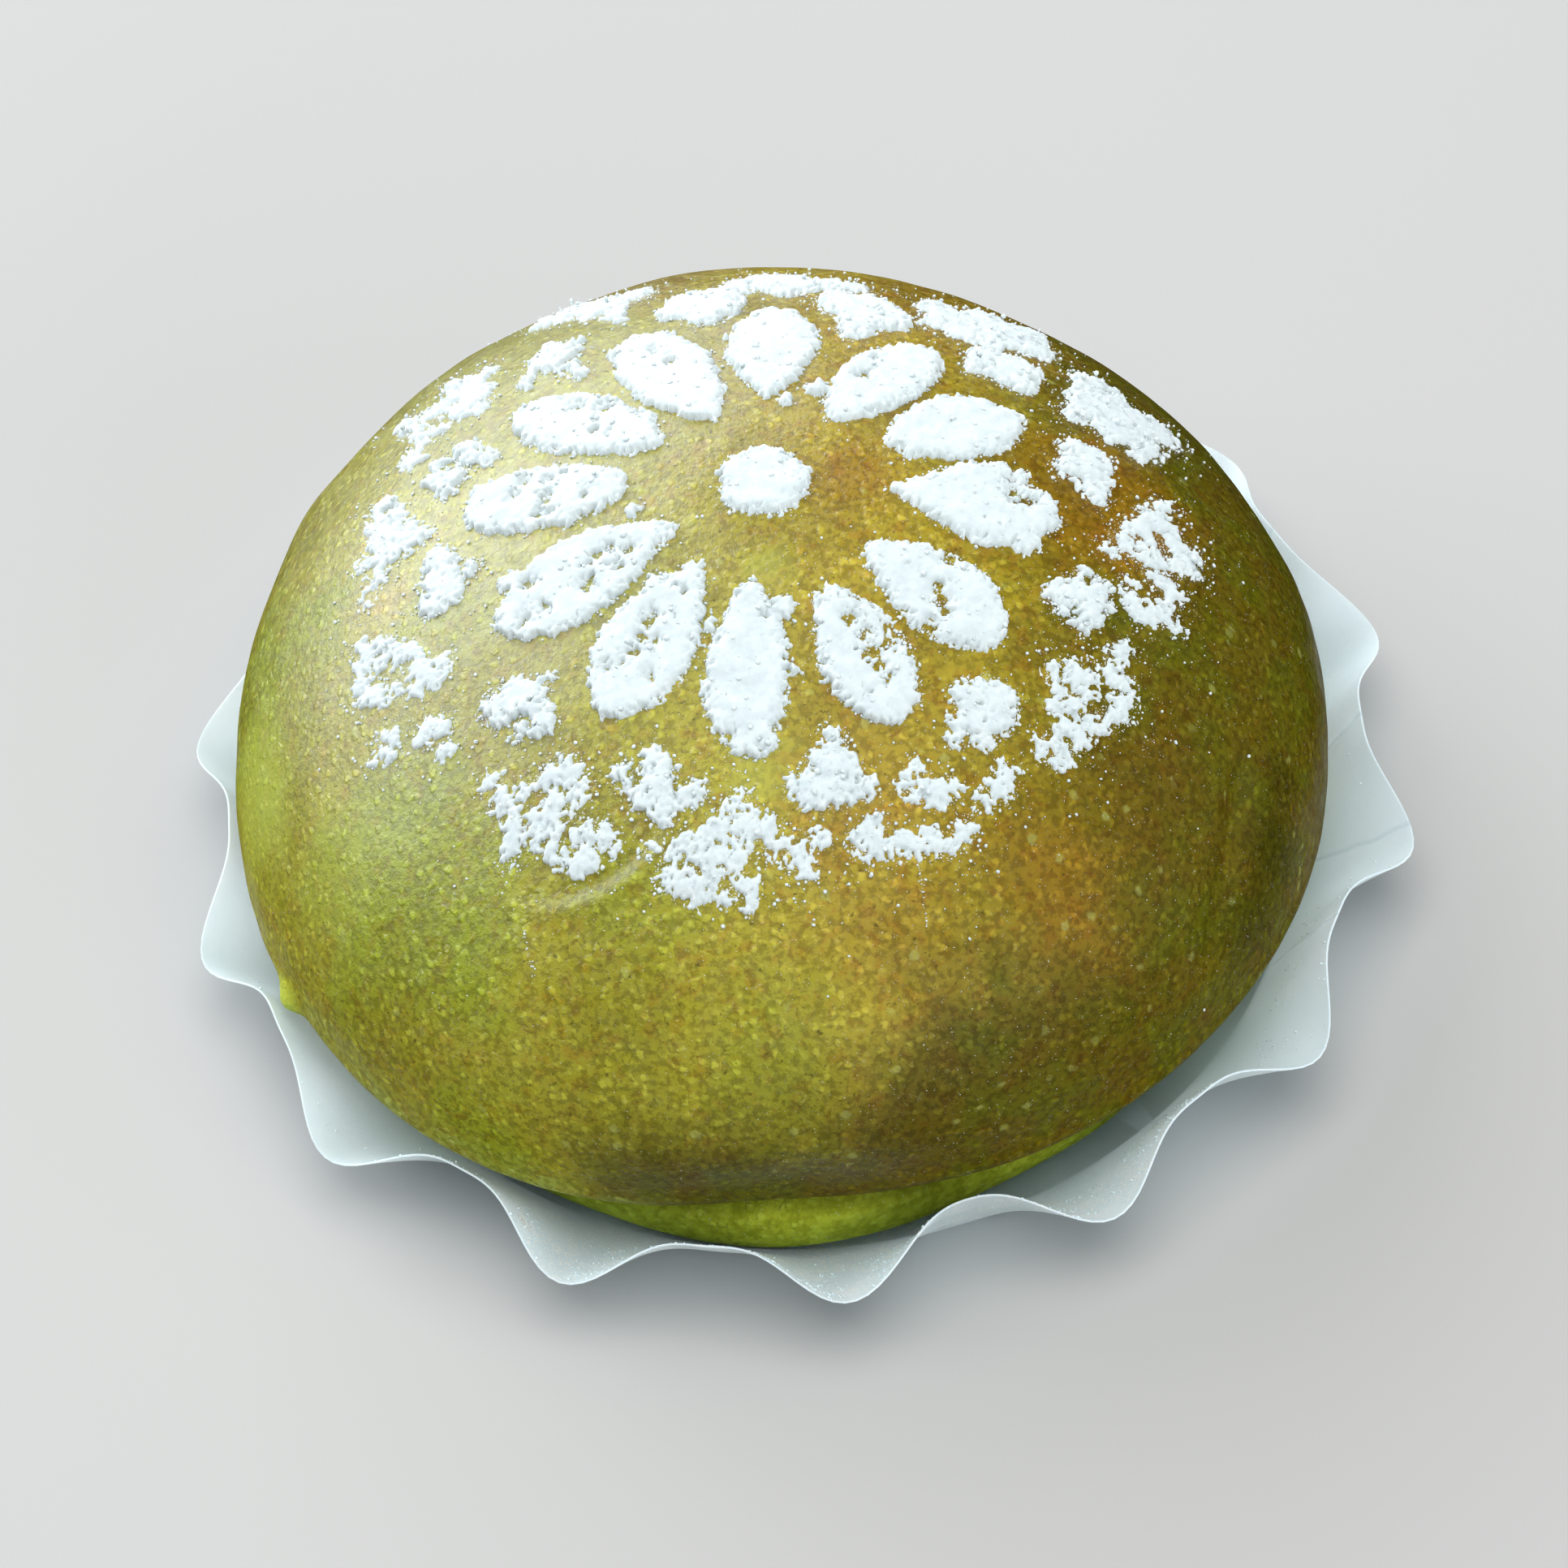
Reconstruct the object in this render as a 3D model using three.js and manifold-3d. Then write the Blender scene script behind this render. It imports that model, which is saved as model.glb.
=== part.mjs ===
// Sweet bun with a stencilled icing sugar rosette, sitting in a fluted white paper case.
// Millimetres, +Z up. The origin is on the table, under the middle of the paper case.

import * as THREE from 'three';
import { mergeVertices } from 'three/addons/utils/BufferGeometryUtils.js';
import Module from 'manifold-3d';

const wasm = await Module();
wasm.setup();

// Driving dimensions of the bun
const bunRadius = 54.4; // mean, at the widest level of the dome
const bunHeight = 52; // top of the crust above the table
const widestHeight = 13.4; // level of the widest ring
const domeFlank = 1.8; // shape exponents of the dome's profile
const domeCrown = 2.2;
const bunCentreX = -1.65; // the bun sits a little to one side of its case
const underside = 0.7; // flat bottom of the bun, just clear of the paper
const undersideRadius = 45.6;
const lipRadius = 50.1; // pale foot of the dough that swelled out below the crust
const lipHeight = 5.2;
const creaseRadius = 49.7; // fold between the foot and the dome
const creaseHeight = 9.0;
const ovalDepth = 0.4; // the bun is not quite round: two and three sided swell
const trefoilDepth = 0.45;

// Driving dimensions of the icing sugar
const sugarDepth = 0.8;
const rosetteX = 0.95; // middle of the rosette, from the middle of the bun
const rosetteY = 2.84;
const rosetteTurn = THREE.MathUtils.degToRad(-7.5);
const petalCount = 12;
const petalInner = 11.6;
const petalOuter = 28.3;
const petalWidth = 7.8;
const smallDiamondRing = 30.95;
const smallDiamondReach = 3.3;
const largeDiamondRing = 36.85;
const largeDiamondReach = 5.6;
const dotRadius = 4.2;

// Driving dimensions of the paper case
const paper = 0.4;
const caseBaseRadius = 49.3;
const lobeCount = 14;
const firstLobe = THREE.MathUtils.degToRad(13); // direction of the first lobe's tip
const tipRadius = 61.2; // the rim swings between low, wide tips and high, narrow valleys
const tipHeight = 7.7;
const valleyRadius = 56.5;
const valleyHeight = 12.1;

// Fineness of the meshes
const bunSegments = 56;
const lobeColumns = 8;
const wallRows = 5;

// Materials
const crustMaterial = new THREE.MeshStandardMaterial({ color: 0x8d7440, roughness: 0.5, metalness: 0 });
const paperMaterial = new THREE.MeshStandardMaterial({ color: 0xf1f2f4, roughness: 0.6, metalness: 0 });
paperMaterial.side = THREE.DoubleSide;

// Closed mesh to solid, and back
function toSolid(geometry) {
  geometry.deleteAttribute('normal');
  geometry.deleteAttribute('uv');
  const merged = mergeVertices(geometry, 1e-4);
  const mesh = new wasm.Mesh({
    numProp: 3,
    vertProperties: new Float32Array(merged.attributes.position.array),
    triVerts: new Uint32Array(merged.index.array),
  });
  return new wasm.Manifold(mesh);
}

function toGeometry(solid) {
  const mesh = solid.getMesh();
  const geometry = new THREE.BufferGeometry();
  geometry.setAttribute('position', new THREE.BufferAttribute(mesh.vertProperties, 3));
  geometry.setIndex(new THREE.BufferAttribute(mesh.triVerts, 1));
  geometry.computeVertexNormals();
  return geometry;
}

// Joins rings of equal length into a skin, and closes it with a point at each end
function skinOfRings(rings, firstPoint, lastPoint) {
  const count = rings[0].length;
  const positions = [];
  const triangles = [];
  rings.flat().forEach((point) => positions.push(...point));
  const first = rings.length * count;
  const last = first + 1;
  positions.push(...firstPoint, ...lastPoint);
  for (let column = 0; column < count; column += 1) {
    const next = (column + 1) % count;
    triangles.push(first, next, column);
    for (let row = 0; row < rings.length - 1; row += 1) {
      const a = row * count + column;
      const b = row * count + next;
      triangles.push(a, b, b + count, a, b + count, a + count);
    }
    const top = (rings.length - 1) * count;
    triangles.push(last, top + column, top + next);
  }
  const geometry = new THREE.BufferGeometry();
  geometry.setAttribute('position', new THREE.Float32BufferAttribute(positions, 3));
  geometry.setIndex(triangles);
  return geometry;
}

// Profile of the bun from the edge of its flat bottom to near the top, as [radius, height]
function bunProfile() {
  const foot = [
    [undersideRadius, underside],
    [lipRadius - 2.6, underside + 0.9],
    [lipRadius - 0.9, lipHeight - 1.9],
    [lipRadius, lipHeight],
    [lipRadius - 0.2, creaseHeight - 1.8],
    [creaseRadius, creaseHeight],
    [creaseRadius + 1.5, creaseHeight + 0.6],
    [bunRadius - 1.6, widestHeight - 2.6],
    [bunRadius - 0.5, widestHeight - 1.3],
  ];
  const dome = [];
  const domeSteps = 14;
  for (let step = 0; step < domeSteps; step += 1) {
    const share = Math.cos((step / domeSteps) * Math.PI * 0.5);
    const rise = (1 - share ** domeFlank) ** (1 / domeCrown);
    dome.push([bunRadius * share, widestHeight + (bunHeight - widestHeight) * rise]);
  }
  return [...foot, ...dome];
}

// How far the bun swells or draws in on each side
function swell(angle) {
  return -ovalDepth * Math.cos(2 * angle) + trefoilDepth * Math.cos(3 * angle);
}

// The bun's whole skin, moved out by some depth along its own slope
function bunSkin(depth) {
  const profile = bunProfile();
  const rings = profile.map(([radius, height], row) => {
    const before = profile[Math.max(row - 1, 0)];
    const after = profile[Math.min(row + 1, profile.length - 1)];
    const run = after[0] - before[0];
    const rise = after[1] - before[1];
    const slope = Math.hypot(run, rise);
    const grownRadius = radius + (depth * rise) / slope;
    const grownHeight = height - (depth * run) / slope;
    const ring = [];
    for (let column = 0; column < bunSegments; column += 1) {
      const angle = (column / bunSegments) * Math.PI * 2;
      const reach = grownRadius * (1 + swell(angle) / bunRadius);
      ring.push([reach * Math.cos(angle), reach * Math.sin(angle), grownHeight]);
    }
    return ring;
  });
  return skinOfRings(rings, [0, 0, profile[0][1]], [0, 0, bunHeight + depth]);
}

// A flat outline raised to a block that reaches through the crust
function stencilBlock(shape, distance, angle) {
  const block = new THREE.ExtrudeGeometry(shape, { depth: bunHeight, bevelEnabled: false, curveSegments: 4 });
  block.translate(distance, 0, bunHeight / 2);
  block.rotateZ(angle);
  return toSolid(block);
}

// Petal: a drop with its point inwards, along +X from the middle of its length
function petalShape(stretch, plumpness) {
  const half = ((petalOuter - petalInner) / 2) * stretch;
  const side = (petalWidth / 2) * plumpness;
  const shape = new THREE.Shape();
  shape.moveTo(-half, 0);
  shape.bezierCurveTo(-half * 0.5, side * 0.35, -half * 0.1, side * 1.05, half * 0.45, side);
  shape.bezierCurveTo(half * 0.85, side * 0.95, half, side * 0.5, half, 0);
  shape.bezierCurveTo(half, -side * 0.5, half * 0.85, -side * 0.95, half * 0.45, -side);
  shape.bezierCurveTo(-half * 0.1, -side * 1.05, -half * 0.5, -side * 0.35, -half, 0);
  return shape;
}

// Diamond with sides drawn in a little
function diamondShape(along, across) {
  const pinch = 0.43;
  const shape = new THREE.Shape();
  shape.moveTo(along, 0);
  shape.lineTo(along * pinch, across * pinch);
  shape.lineTo(0, across);
  shape.lineTo(-along * pinch, across * pinch);
  shape.lineTo(-along, 0);
  shape.lineTo(-along * pinch, -across * pinch);
  shape.lineTo(0, -across);
  shape.lineTo(along * pinch, -across * pinch);
  shape.closePath();
  return shape;
}

function discShape(radius) {
  const shape = new THREE.Shape();
  shape.absarc(0, 0, radius, 0, Math.PI * 2, false);
  return shape;
}

// Where the sugar has broken away: petal number, share of its length, side, and radius of the bite
const petalBites = [
  { petal: 1, along: 0.35, side: 0.1, radius: 1.0 },
  { petal: 3, along: 0.15, side: 0.9, radius: 1.7 },
  { petal: 4, along: 0.1, side: -1.0, radius: 1.6 },
  { petal: 5, along: 0.0, side: 0.95, radius: 2.2 },
  { petal: 6, along: -0.2, side: 1.0, radius: 1.2 },
  { petal: 7, along: 0.3, side: -0.2, radius: 0.9 },
  { petal: 8, along: 0.25, side: 1.0, radius: 1.4 },
  { petal: 10, along: 0.1, side: 1.0, radius: 1.3 },
];

// The rosette: petals, a ring of small diamonds between them, and large ones beyond them
function sugarBlocks() {
  const middle = (petalInner + petalOuter) / 2;
  const blocks = [stencilBlock(discShape(dotRadius), 0, 0)];
  for (let place = 0; place < petalCount; place += 1) {
    const angle = rosetteTurn + Math.PI / 2 - (place * Math.PI * 2) / petalCount;
    const between = angle - Math.PI / petalCount;
    const wobble = Math.sin(place * 2.4);
    let petal = stencilBlock(petalShape(1 + 0.03 * wobble, 1 - 0.05 * wobble), middle, angle);
    petalBites.filter((bite) => bite.petal === place).forEach((bite) => {
      const hole = new THREE.CylinderGeometry(bite.radius, bite.radius, bunHeight * 2, 9);
      hole.rotateX(Math.PI / 2);
      hole.translate(middle + bite.along * (petalOuter - petalInner), (bite.side * petalWidth) / 2, bunHeight);
      hole.rotateZ(angle);
      petal = petal.subtract(toSolid(hole));
    });
    const small = smallDiamondReach * (1 + 0.06 * wobble);
    const large = largeDiamondReach * (1 - 0.05 * wobble);
    blocks.push(petal);
    blocks.push(stencilBlock(diamondShape(small, small), smallDiamondRing, between));
    blocks.push(stencilBlock(diamondShape(large * 0.92, large), largeDiamondRing, angle));
  }
  return blocks.map((block) => block.translate([rosetteX, rosetteY, 0]));
}

// Bun: the dome, its foot and the raised sugar are one solid
function makeBun() {
  let solid = toSolid(bunSkin(0));
  const sugarSkin = toSolid(bunSkin(sugarDepth));
  sugarBlocks().forEach((block) => {
    solid = solid.add(block.intersect(sugarSkin));
  });
  const bun = new THREE.Mesh(toGeometry(solid), crustMaterial);
  bun.name = 'bun';
  bun.position.x = bunCentreX;
  return bun;
}

// How much a lobe stands out at an angle: 1 at its narrow tip, 0 in the broad valley
function lobeReach(angle) {
  const phase = ((angle - firstLobe) * lobeCount) / 2;
  return (Math.cos(phase) ** 2) ** 1.6;
}

// Each lobe of the hand-worn case stands a little differently
function lobeWear(angle) {
  return 0.6 * Math.sin(2 * angle + 0.7) + 0.4 * Math.sin(6 * angle + 2.1);
}

// Outer face of the case wall: share 0 at the table, 1 at the rim
function wallPoint(angle, share) {
  const reach = lobeReach(angle);
  const wear = lobeWear(angle);
  const rimRadius = valleyRadius + (tipRadius - valleyRadius) * reach + 0.5 * wear * reach;
  const rimHeight = valleyHeight + (tipHeight - valleyHeight) * reach - 0.5 * wear;
  const lean = share ** 0.85;
  const radius = caseBaseRadius + (rimRadius - caseBaseRadius) * lean;
  return new THREE.Vector3(radius * Math.cos(angle), radius * Math.sin(angle), rimHeight * share);
}

// Inner face of the wall, one paper thickness in
function innerWallPoint(angle, share) {
  const step = 0.01;
  const point = wallPoint(angle, share);
  const around = wallPoint(angle + step, share).sub(wallPoint(angle - step, share));
  const low = Math.max(share - step, 0);
  const up = wallPoint(angle, low + 2 * step).sub(wallPoint(angle, low));
  const outward = around.cross(up).normalize();
  return point.addScaledVector(outward, -paper);
}

// Angles closer together at the tips, where the paper bends most
function caseAngles() {
  const angles = [];
  for (let column = 0; column < lobeCount * lobeColumns; column += 1) {
    const turn = (column / lobeColumns) * Math.PI * 2;
    const warped = turn - 0.45 * Math.sin(turn);
    angles.push(firstLobe + warped / lobeCount);
  }
  return angles;
}

// Paper case: up the outside, over the rim and down the inside
function makePaperCase() {
  const angles = caseAngles();
  const rings = [];
  for (let row = 0; row <= wallRows; row += 1) {
    rings.push(angles.map((angle) => wallPoint(angle, row / wallRows).toArray()));
  }
  for (let row = wallRows; row >= 0; row -= 1) {
    rings.push(angles.map((angle) => {
      const point = innerWallPoint(angle, row / wallRows);
      point.z = Math.max(point.z, paper);
      return point.toArray();
    }));
  }
  const geometry = skinOfRings(rings, [0, 0, 0], [0, 0, paper]);
  geometry.computeVertexNormals();
  const paperCase = new THREE.Mesh(geometry, paperMaterial);
  paperCase.name = 'paper_case';
  return paperCase;
}

const part = new THREE.Group();
part.add(makePaperCase());
part.add(makeBun());

export default part;
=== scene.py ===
import math

import bpy
import numpy as np
from mathutils import Matrix, Vector


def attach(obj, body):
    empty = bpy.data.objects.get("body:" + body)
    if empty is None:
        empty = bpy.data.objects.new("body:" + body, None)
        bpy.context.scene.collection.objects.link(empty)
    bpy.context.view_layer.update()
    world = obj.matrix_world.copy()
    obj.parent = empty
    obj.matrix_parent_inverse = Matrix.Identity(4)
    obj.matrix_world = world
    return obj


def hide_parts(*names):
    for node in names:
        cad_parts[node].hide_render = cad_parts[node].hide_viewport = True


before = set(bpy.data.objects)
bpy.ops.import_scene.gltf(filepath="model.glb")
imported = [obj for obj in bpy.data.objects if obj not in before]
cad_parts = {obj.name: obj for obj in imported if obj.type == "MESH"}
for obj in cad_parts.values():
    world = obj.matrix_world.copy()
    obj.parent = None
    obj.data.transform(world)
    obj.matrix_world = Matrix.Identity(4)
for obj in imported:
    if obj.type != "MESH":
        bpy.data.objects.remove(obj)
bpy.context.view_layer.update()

mm = 0.001  # lengths below are written in millimetres and become metres in the meshes

# The bun stands a little to one side of its case, as in the frame
bunPlace = {"x": -1.65, "y": 0.0}
bunShift = np.array([bunPlace["x"], bunPlace["y"], 0])


# Small tools for shapes

def selectNothing():
    if bpy.context.mode != "OBJECT":
        bpy.ops.object.mode_set(mode="OBJECT")
    bpy.ops.object.select_all(action="DESELECT")


def meshPoints(piece):
    points = np.empty(len(piece.data.vertices) * 3)
    piece.data.vertices.foreach_get("co", points)
    return points.reshape(-1, 3)


def placePoints(piece, points):
    piece.data.vertices.foreach_set("co", np.ascontiguousarray(points, dtype=float).ravel())
    piece.data.update()


def newObject(name, data):
    thing = bpy.data.objects.new(name, data)
    bpy.context.scene.collection.objects.link(thing)
    return thing


def newPiece(name, points, faces):
    mesh = bpy.data.meshes.new(name)
    mesh.from_pydata([tuple(p) for p in points], [], [tuple(f) for f in faces])
    mesh.update()
    mesh.shade_smooth()
    return newObject(name, mesh)


# Smooth random field between -1 and 1, with lumps of about the given size in mm
def lumpField(points, size, seed):
    place = points / size + seed * 7.31
    cell = np.floor(place).astype(np.int64)
    part = place - cell
    part = part * part * (3 - 2 * part)
    total = np.zeros(len(points))
    for corner in range(8):
        step = np.array([corner & 1, corner >> 1 & 1, corner >> 2 & 1])
        spot = cell + step
        code = (spot @ [374761393, 668265263, 1440662683] + seed * 97) & 0xFFFFFFFF
        code = ((code ^ (code >> 13)) * 1274126177) & 0xFFFFFFFF
        value = ((code ^ (code >> 16)) & 0xFFFF) / 32767.5 - 1
        weight = np.prod(np.where(step == 1, part, 1 - part), axis=1)
        total += value * weight
    return total


# Lump fields on top of each other, each given as strength, size in mm and seed
def layers(points, parts, seed=0):
    return sum(strength * lumpField(points, size, seed + own) for strength, size, own in parts)


def flat(x, y):
    return np.column_stack([x, y, np.zeros_like(x)])


def unit(vectors):
    return vectors / np.linalg.norm(vectors, axis=1)[:, None]


# Length of a line up to each of its points
def lengthAlong(line):
    return np.concatenate([[0], np.cumsum(np.hypot(*np.diff(line, axis=0).T))])


def smoothStep(low, high, value):
    share = np.clip((value - low) / (high - low), 0, 1)
    return share * share * (3 - 2 * share)


# Bell shaped bump around a place, 1 in its middle
def bell(distance, width):
    return np.exp(-(distance / width) ** 2)


def angleGap(angle, middle):
    return (angle - middle + math.pi) % (2 * math.pi) - math.pi


# The bun's form
bun = {
    "radius": 54.4,
    "height": 52.0,
    "widestHeight": 13.4,
    "flank": 1.8,
    "crown": 2.2,
    "oval": 0.4,
    "trefoil": 0.45,
    "underside": 0.7,
    "cuts": 118,  # fineness of the skin
    "foot": [(54.4, 13.4), (54.1, 12.3), (53.2, 11.0), (51.7, 9.9), (50.3, 9.3), (49.6, 9.0),
             (49.9, 8.4), (50.3, 7.2), (50.3, 5.2), (49.4, 3.2), (47.7, 1.6), (45.6, 0.7)],
    "front": -92,  # direction of the front in degrees
    "lipOut": 0.9,  # how far the pale foot swells out at the front
    "lipIn": -1.3,  # and draws in at the back
    "lipLift": 1.3,
    "frontTuck": 2.9,  # how far the low front draws in above the foot
}


def swell(angle):
    return -bun["oval"] * np.cos(2 * angle) + bun["trefoil"] * np.cos(3 * angle)


# Height of the dome at a share of its radius
def domeRise(share):
    rise = (1 - share ** bun["flank"]) ** (1 / bun["crown"])
    return bun["widestHeight"] + (bun["height"] - bun["widestHeight"]) * rise


def domeHeight(x, y):
    angle = np.arctan2(y, x)
    return domeRise(np.clip(np.hypot(x, y) / (bun["radius"] + swell(angle)), 0, 0.99999))


# Low relief of the crust, in mm
crustForm = {
    "swells": [(0.45, 26, 3), (0.22, 11, 5), (0.07, 4.2, 8), (0.035, 2.1, 11)],  # height, size, seed
    # dent across the right flank: where it starts, where it runs to from there, depth and width
    "dent": ((44, -22, 31), (-6.5, -13, -8), 1.0, 1.8),
    # short crease below the rosette, on part of a ring: middle, radius, direction in degrees, spread
    "crease": (-19.5, -24.0, 10.6, -75, 0.55),
    # bump on the left shoulder, torn foot at the left, faint flat on the front right:
    # x, y, z, height and width
    "bumps": [(-43, 24, 26, 0.7, 5), (-48.9, -22.8, 12.2, 1.3, 1.7), (33, -27, 34, -0.4, 9)],
}


def crustRelief(points):
    x, y, z = points.T
    relief = layers(points, crustForm["swells"])
    start, along, depth, width = crustForm["dent"]
    start, along = np.array(start), np.array(along)
    share = np.clip((points - start) @ along / (along @ along), 0, 1)
    relief -= depth * bell(np.linalg.norm(points - start - share[:, None] * along, axis=1), width)
    # the crease has a ridge on its lower side
    ringX, ringY, radius, direction, spread = crustForm["crease"]
    crease = np.hypot(x - ringX, y - ringY) - radius
    alongCrease = bell(angleGap(np.arctan2(y - ringY, x - ringX), math.radians(direction)), spread)
    relief += alongCrease * (0.35 * bell(crease - 0.9, 0.8) - 0.3 * bell(crease + 0.5, 0.7)) * (z > 20)
    for bumpX, bumpY, bumpZ, height, width in crustForm["bumps"]:
        relief += height * bell(np.hypot(x - bumpX, np.hypot(y - bumpY, z - bumpZ)), width)
    return relief * smoothStep(0.8, 6, z)


# Smooth line through a few points, evenly spaced along its length
def smoothLine(points, count):
    points = np.array(points, dtype=float)
    padded = np.vstack([2 * points[0] - points[1], points, 2 * points[-1] - points[-2]])
    line = []
    for k in range(len(points) - 1):
        a, b, c, d = padded[k:k + 4]
        for t in np.linspace(0, 1, 16, endpoint=False):
            line.append(0.5 * (2 * b + (c - a) * t + (2 * a - 5 * b + 4 * c - d) * t * t
                               + (3 * b - a - 3 * c + d) * t ** 3))
    line = np.array(line + [points[-1]])
    length = lengthAlong(line)
    even = np.linspace(0, length[-1], count)
    return np.column_stack([np.interp(even, length, line[:, 0]), np.interp(even, length, line[:, 1])])


# Radius and height of the skin, from 0 at the crown to 1 in the middle of the underside
def skinProfile(share):
    shares = np.linspace(0, 1, 400) ** 0.75
    dome = np.column_stack([bun["radius"] * shares, domeRise(shares)])
    domeLength = lengthAlong(dome)
    footCount = 120
    foot = smoothLine(bun["foot"], footCount)
    domeEnd, footEnd = 0.62, 0.80
    footKeys = np.linspace(domeEnd, footEnd, footCount)[1:]
    keys = np.concatenate([domeEnd * domeLength / domeLength[-1], footKeys, [1]])
    radii = np.concatenate([dome[:, 0], foot[1:, 0], [0]])
    heights = np.concatenate([dome[:, 1], foot[1:, 1], [bun["underside"]]])
    return np.interp(share, keys, radii), np.interp(share, keys, heights)


def makeCrust():
    selectNothing()
    bpy.ops.mesh.primitive_cube_add(size=2)
    crust = bpy.context.active_object
    crust.name = "crust"
    bpy.ops.object.mode_set(mode="EDIT")
    bpy.ops.mesh.select_all(action="SELECT")
    bpy.ops.mesh.subdivide(number_cuts=bun["cuts"])
    bpy.ops.object.mode_set(mode="OBJECT")
    # blow the cube up to a ball, with even spacing, and press the ball into the bun's form
    ball = unit(np.tan(meshPoints(crust) * math.pi / 4))
    angle = np.arctan2(ball[:, 1], ball[:, 0])
    radius, height = skinProfile(np.arccos(np.clip(ball[:, 2], -1, 1)) / math.pi)
    reach = radius * (1 + swell(angle) / bun["radius"])
    frontGap = angleGap(angle, math.radians(bun["front"]))
    front = bell(frontGap, 0.4) + 0.45 * bell(angleGap(angle, math.radians(-54)), 0.22)
    lip = bun["lipIn"] + (bun["lipOut"] - bun["lipIn"]) * front
    reach += lip * smoothStep(1.2, 3.5, height) * (1 - smoothStep(7.8, 9.6, height)) * (radius > 40)
    tuck = bun["frontTuck"] * bell(frontGap, 0.37) * smoothStep(7.5, 9.5, height)
    reach -= tuck * (1 - smoothStep(12, 25, height))
    height = height + bun["lipLift"] * front * bell(height - 8.8, 2.4) * (radius > 40)
    points = np.column_stack([reach * np.cos(angle), reach * np.sin(angle), height])
    placePoints(crust, points)
    normals = np.empty(len(points) * 3)
    crust.data.vertex_normals.foreach_get("vector", normals)
    points += normals.reshape(-1, 3) * crustRelief(points)[:, None]
    points += bunShift
    placePoints(crust, points * mm)
    crust.data.shade_smooth()
    # how much sugar dust clings to each point, for the material
    x, y = (points - bunShift).T[:2]
    dust = dustiness(x, y) * (height > 22)
    crust.data.attributes.new("dust", "FLOAT", "POINT").data.foreach_set("value", dust)
    return crust


# The sugar rosette, drawn in mm on the bun's plan
rosette = {
    "x": 0.95,
    "y": 2.84,
    "turn": -7.5,
    "count": 12,
    # each petal: where it begins and ends, its width, its turn in degrees and how pointed it is
    "petals": [(12.1, 27.7, 8.8, 1.5, 0.55), (10.6, 26.9, 7.8, -3.0, 0.5), (12.9, 27.1, 8.5, -0.3, 0.5),
               (11.7, 27.7, 9.8, 1.4, 0.75), (12.6, 27.1, 8.8, -2.4, 0.5), (13.4, 28.0, 8.3, -0.6, 0.5),
               (11.4, 28.6, 7.8, -1.0, 0.52), (10.7, 28.0, 9.2, 1.2, 0.66), (9.6, 28.0, 9.4, 0.0, 0.62),
               (12.9, 28.7, 7.8, -2.1, 0.34), (11.3, 28.6, 8.2, 1.0, 0.48), (10.0, 27.6, 8.8, 1.5, 0.52)],
    "dotRadius": 4.1,
    "cell": 0.176,  # fineness of the sugar
    "edge": 45.0,
}

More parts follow.
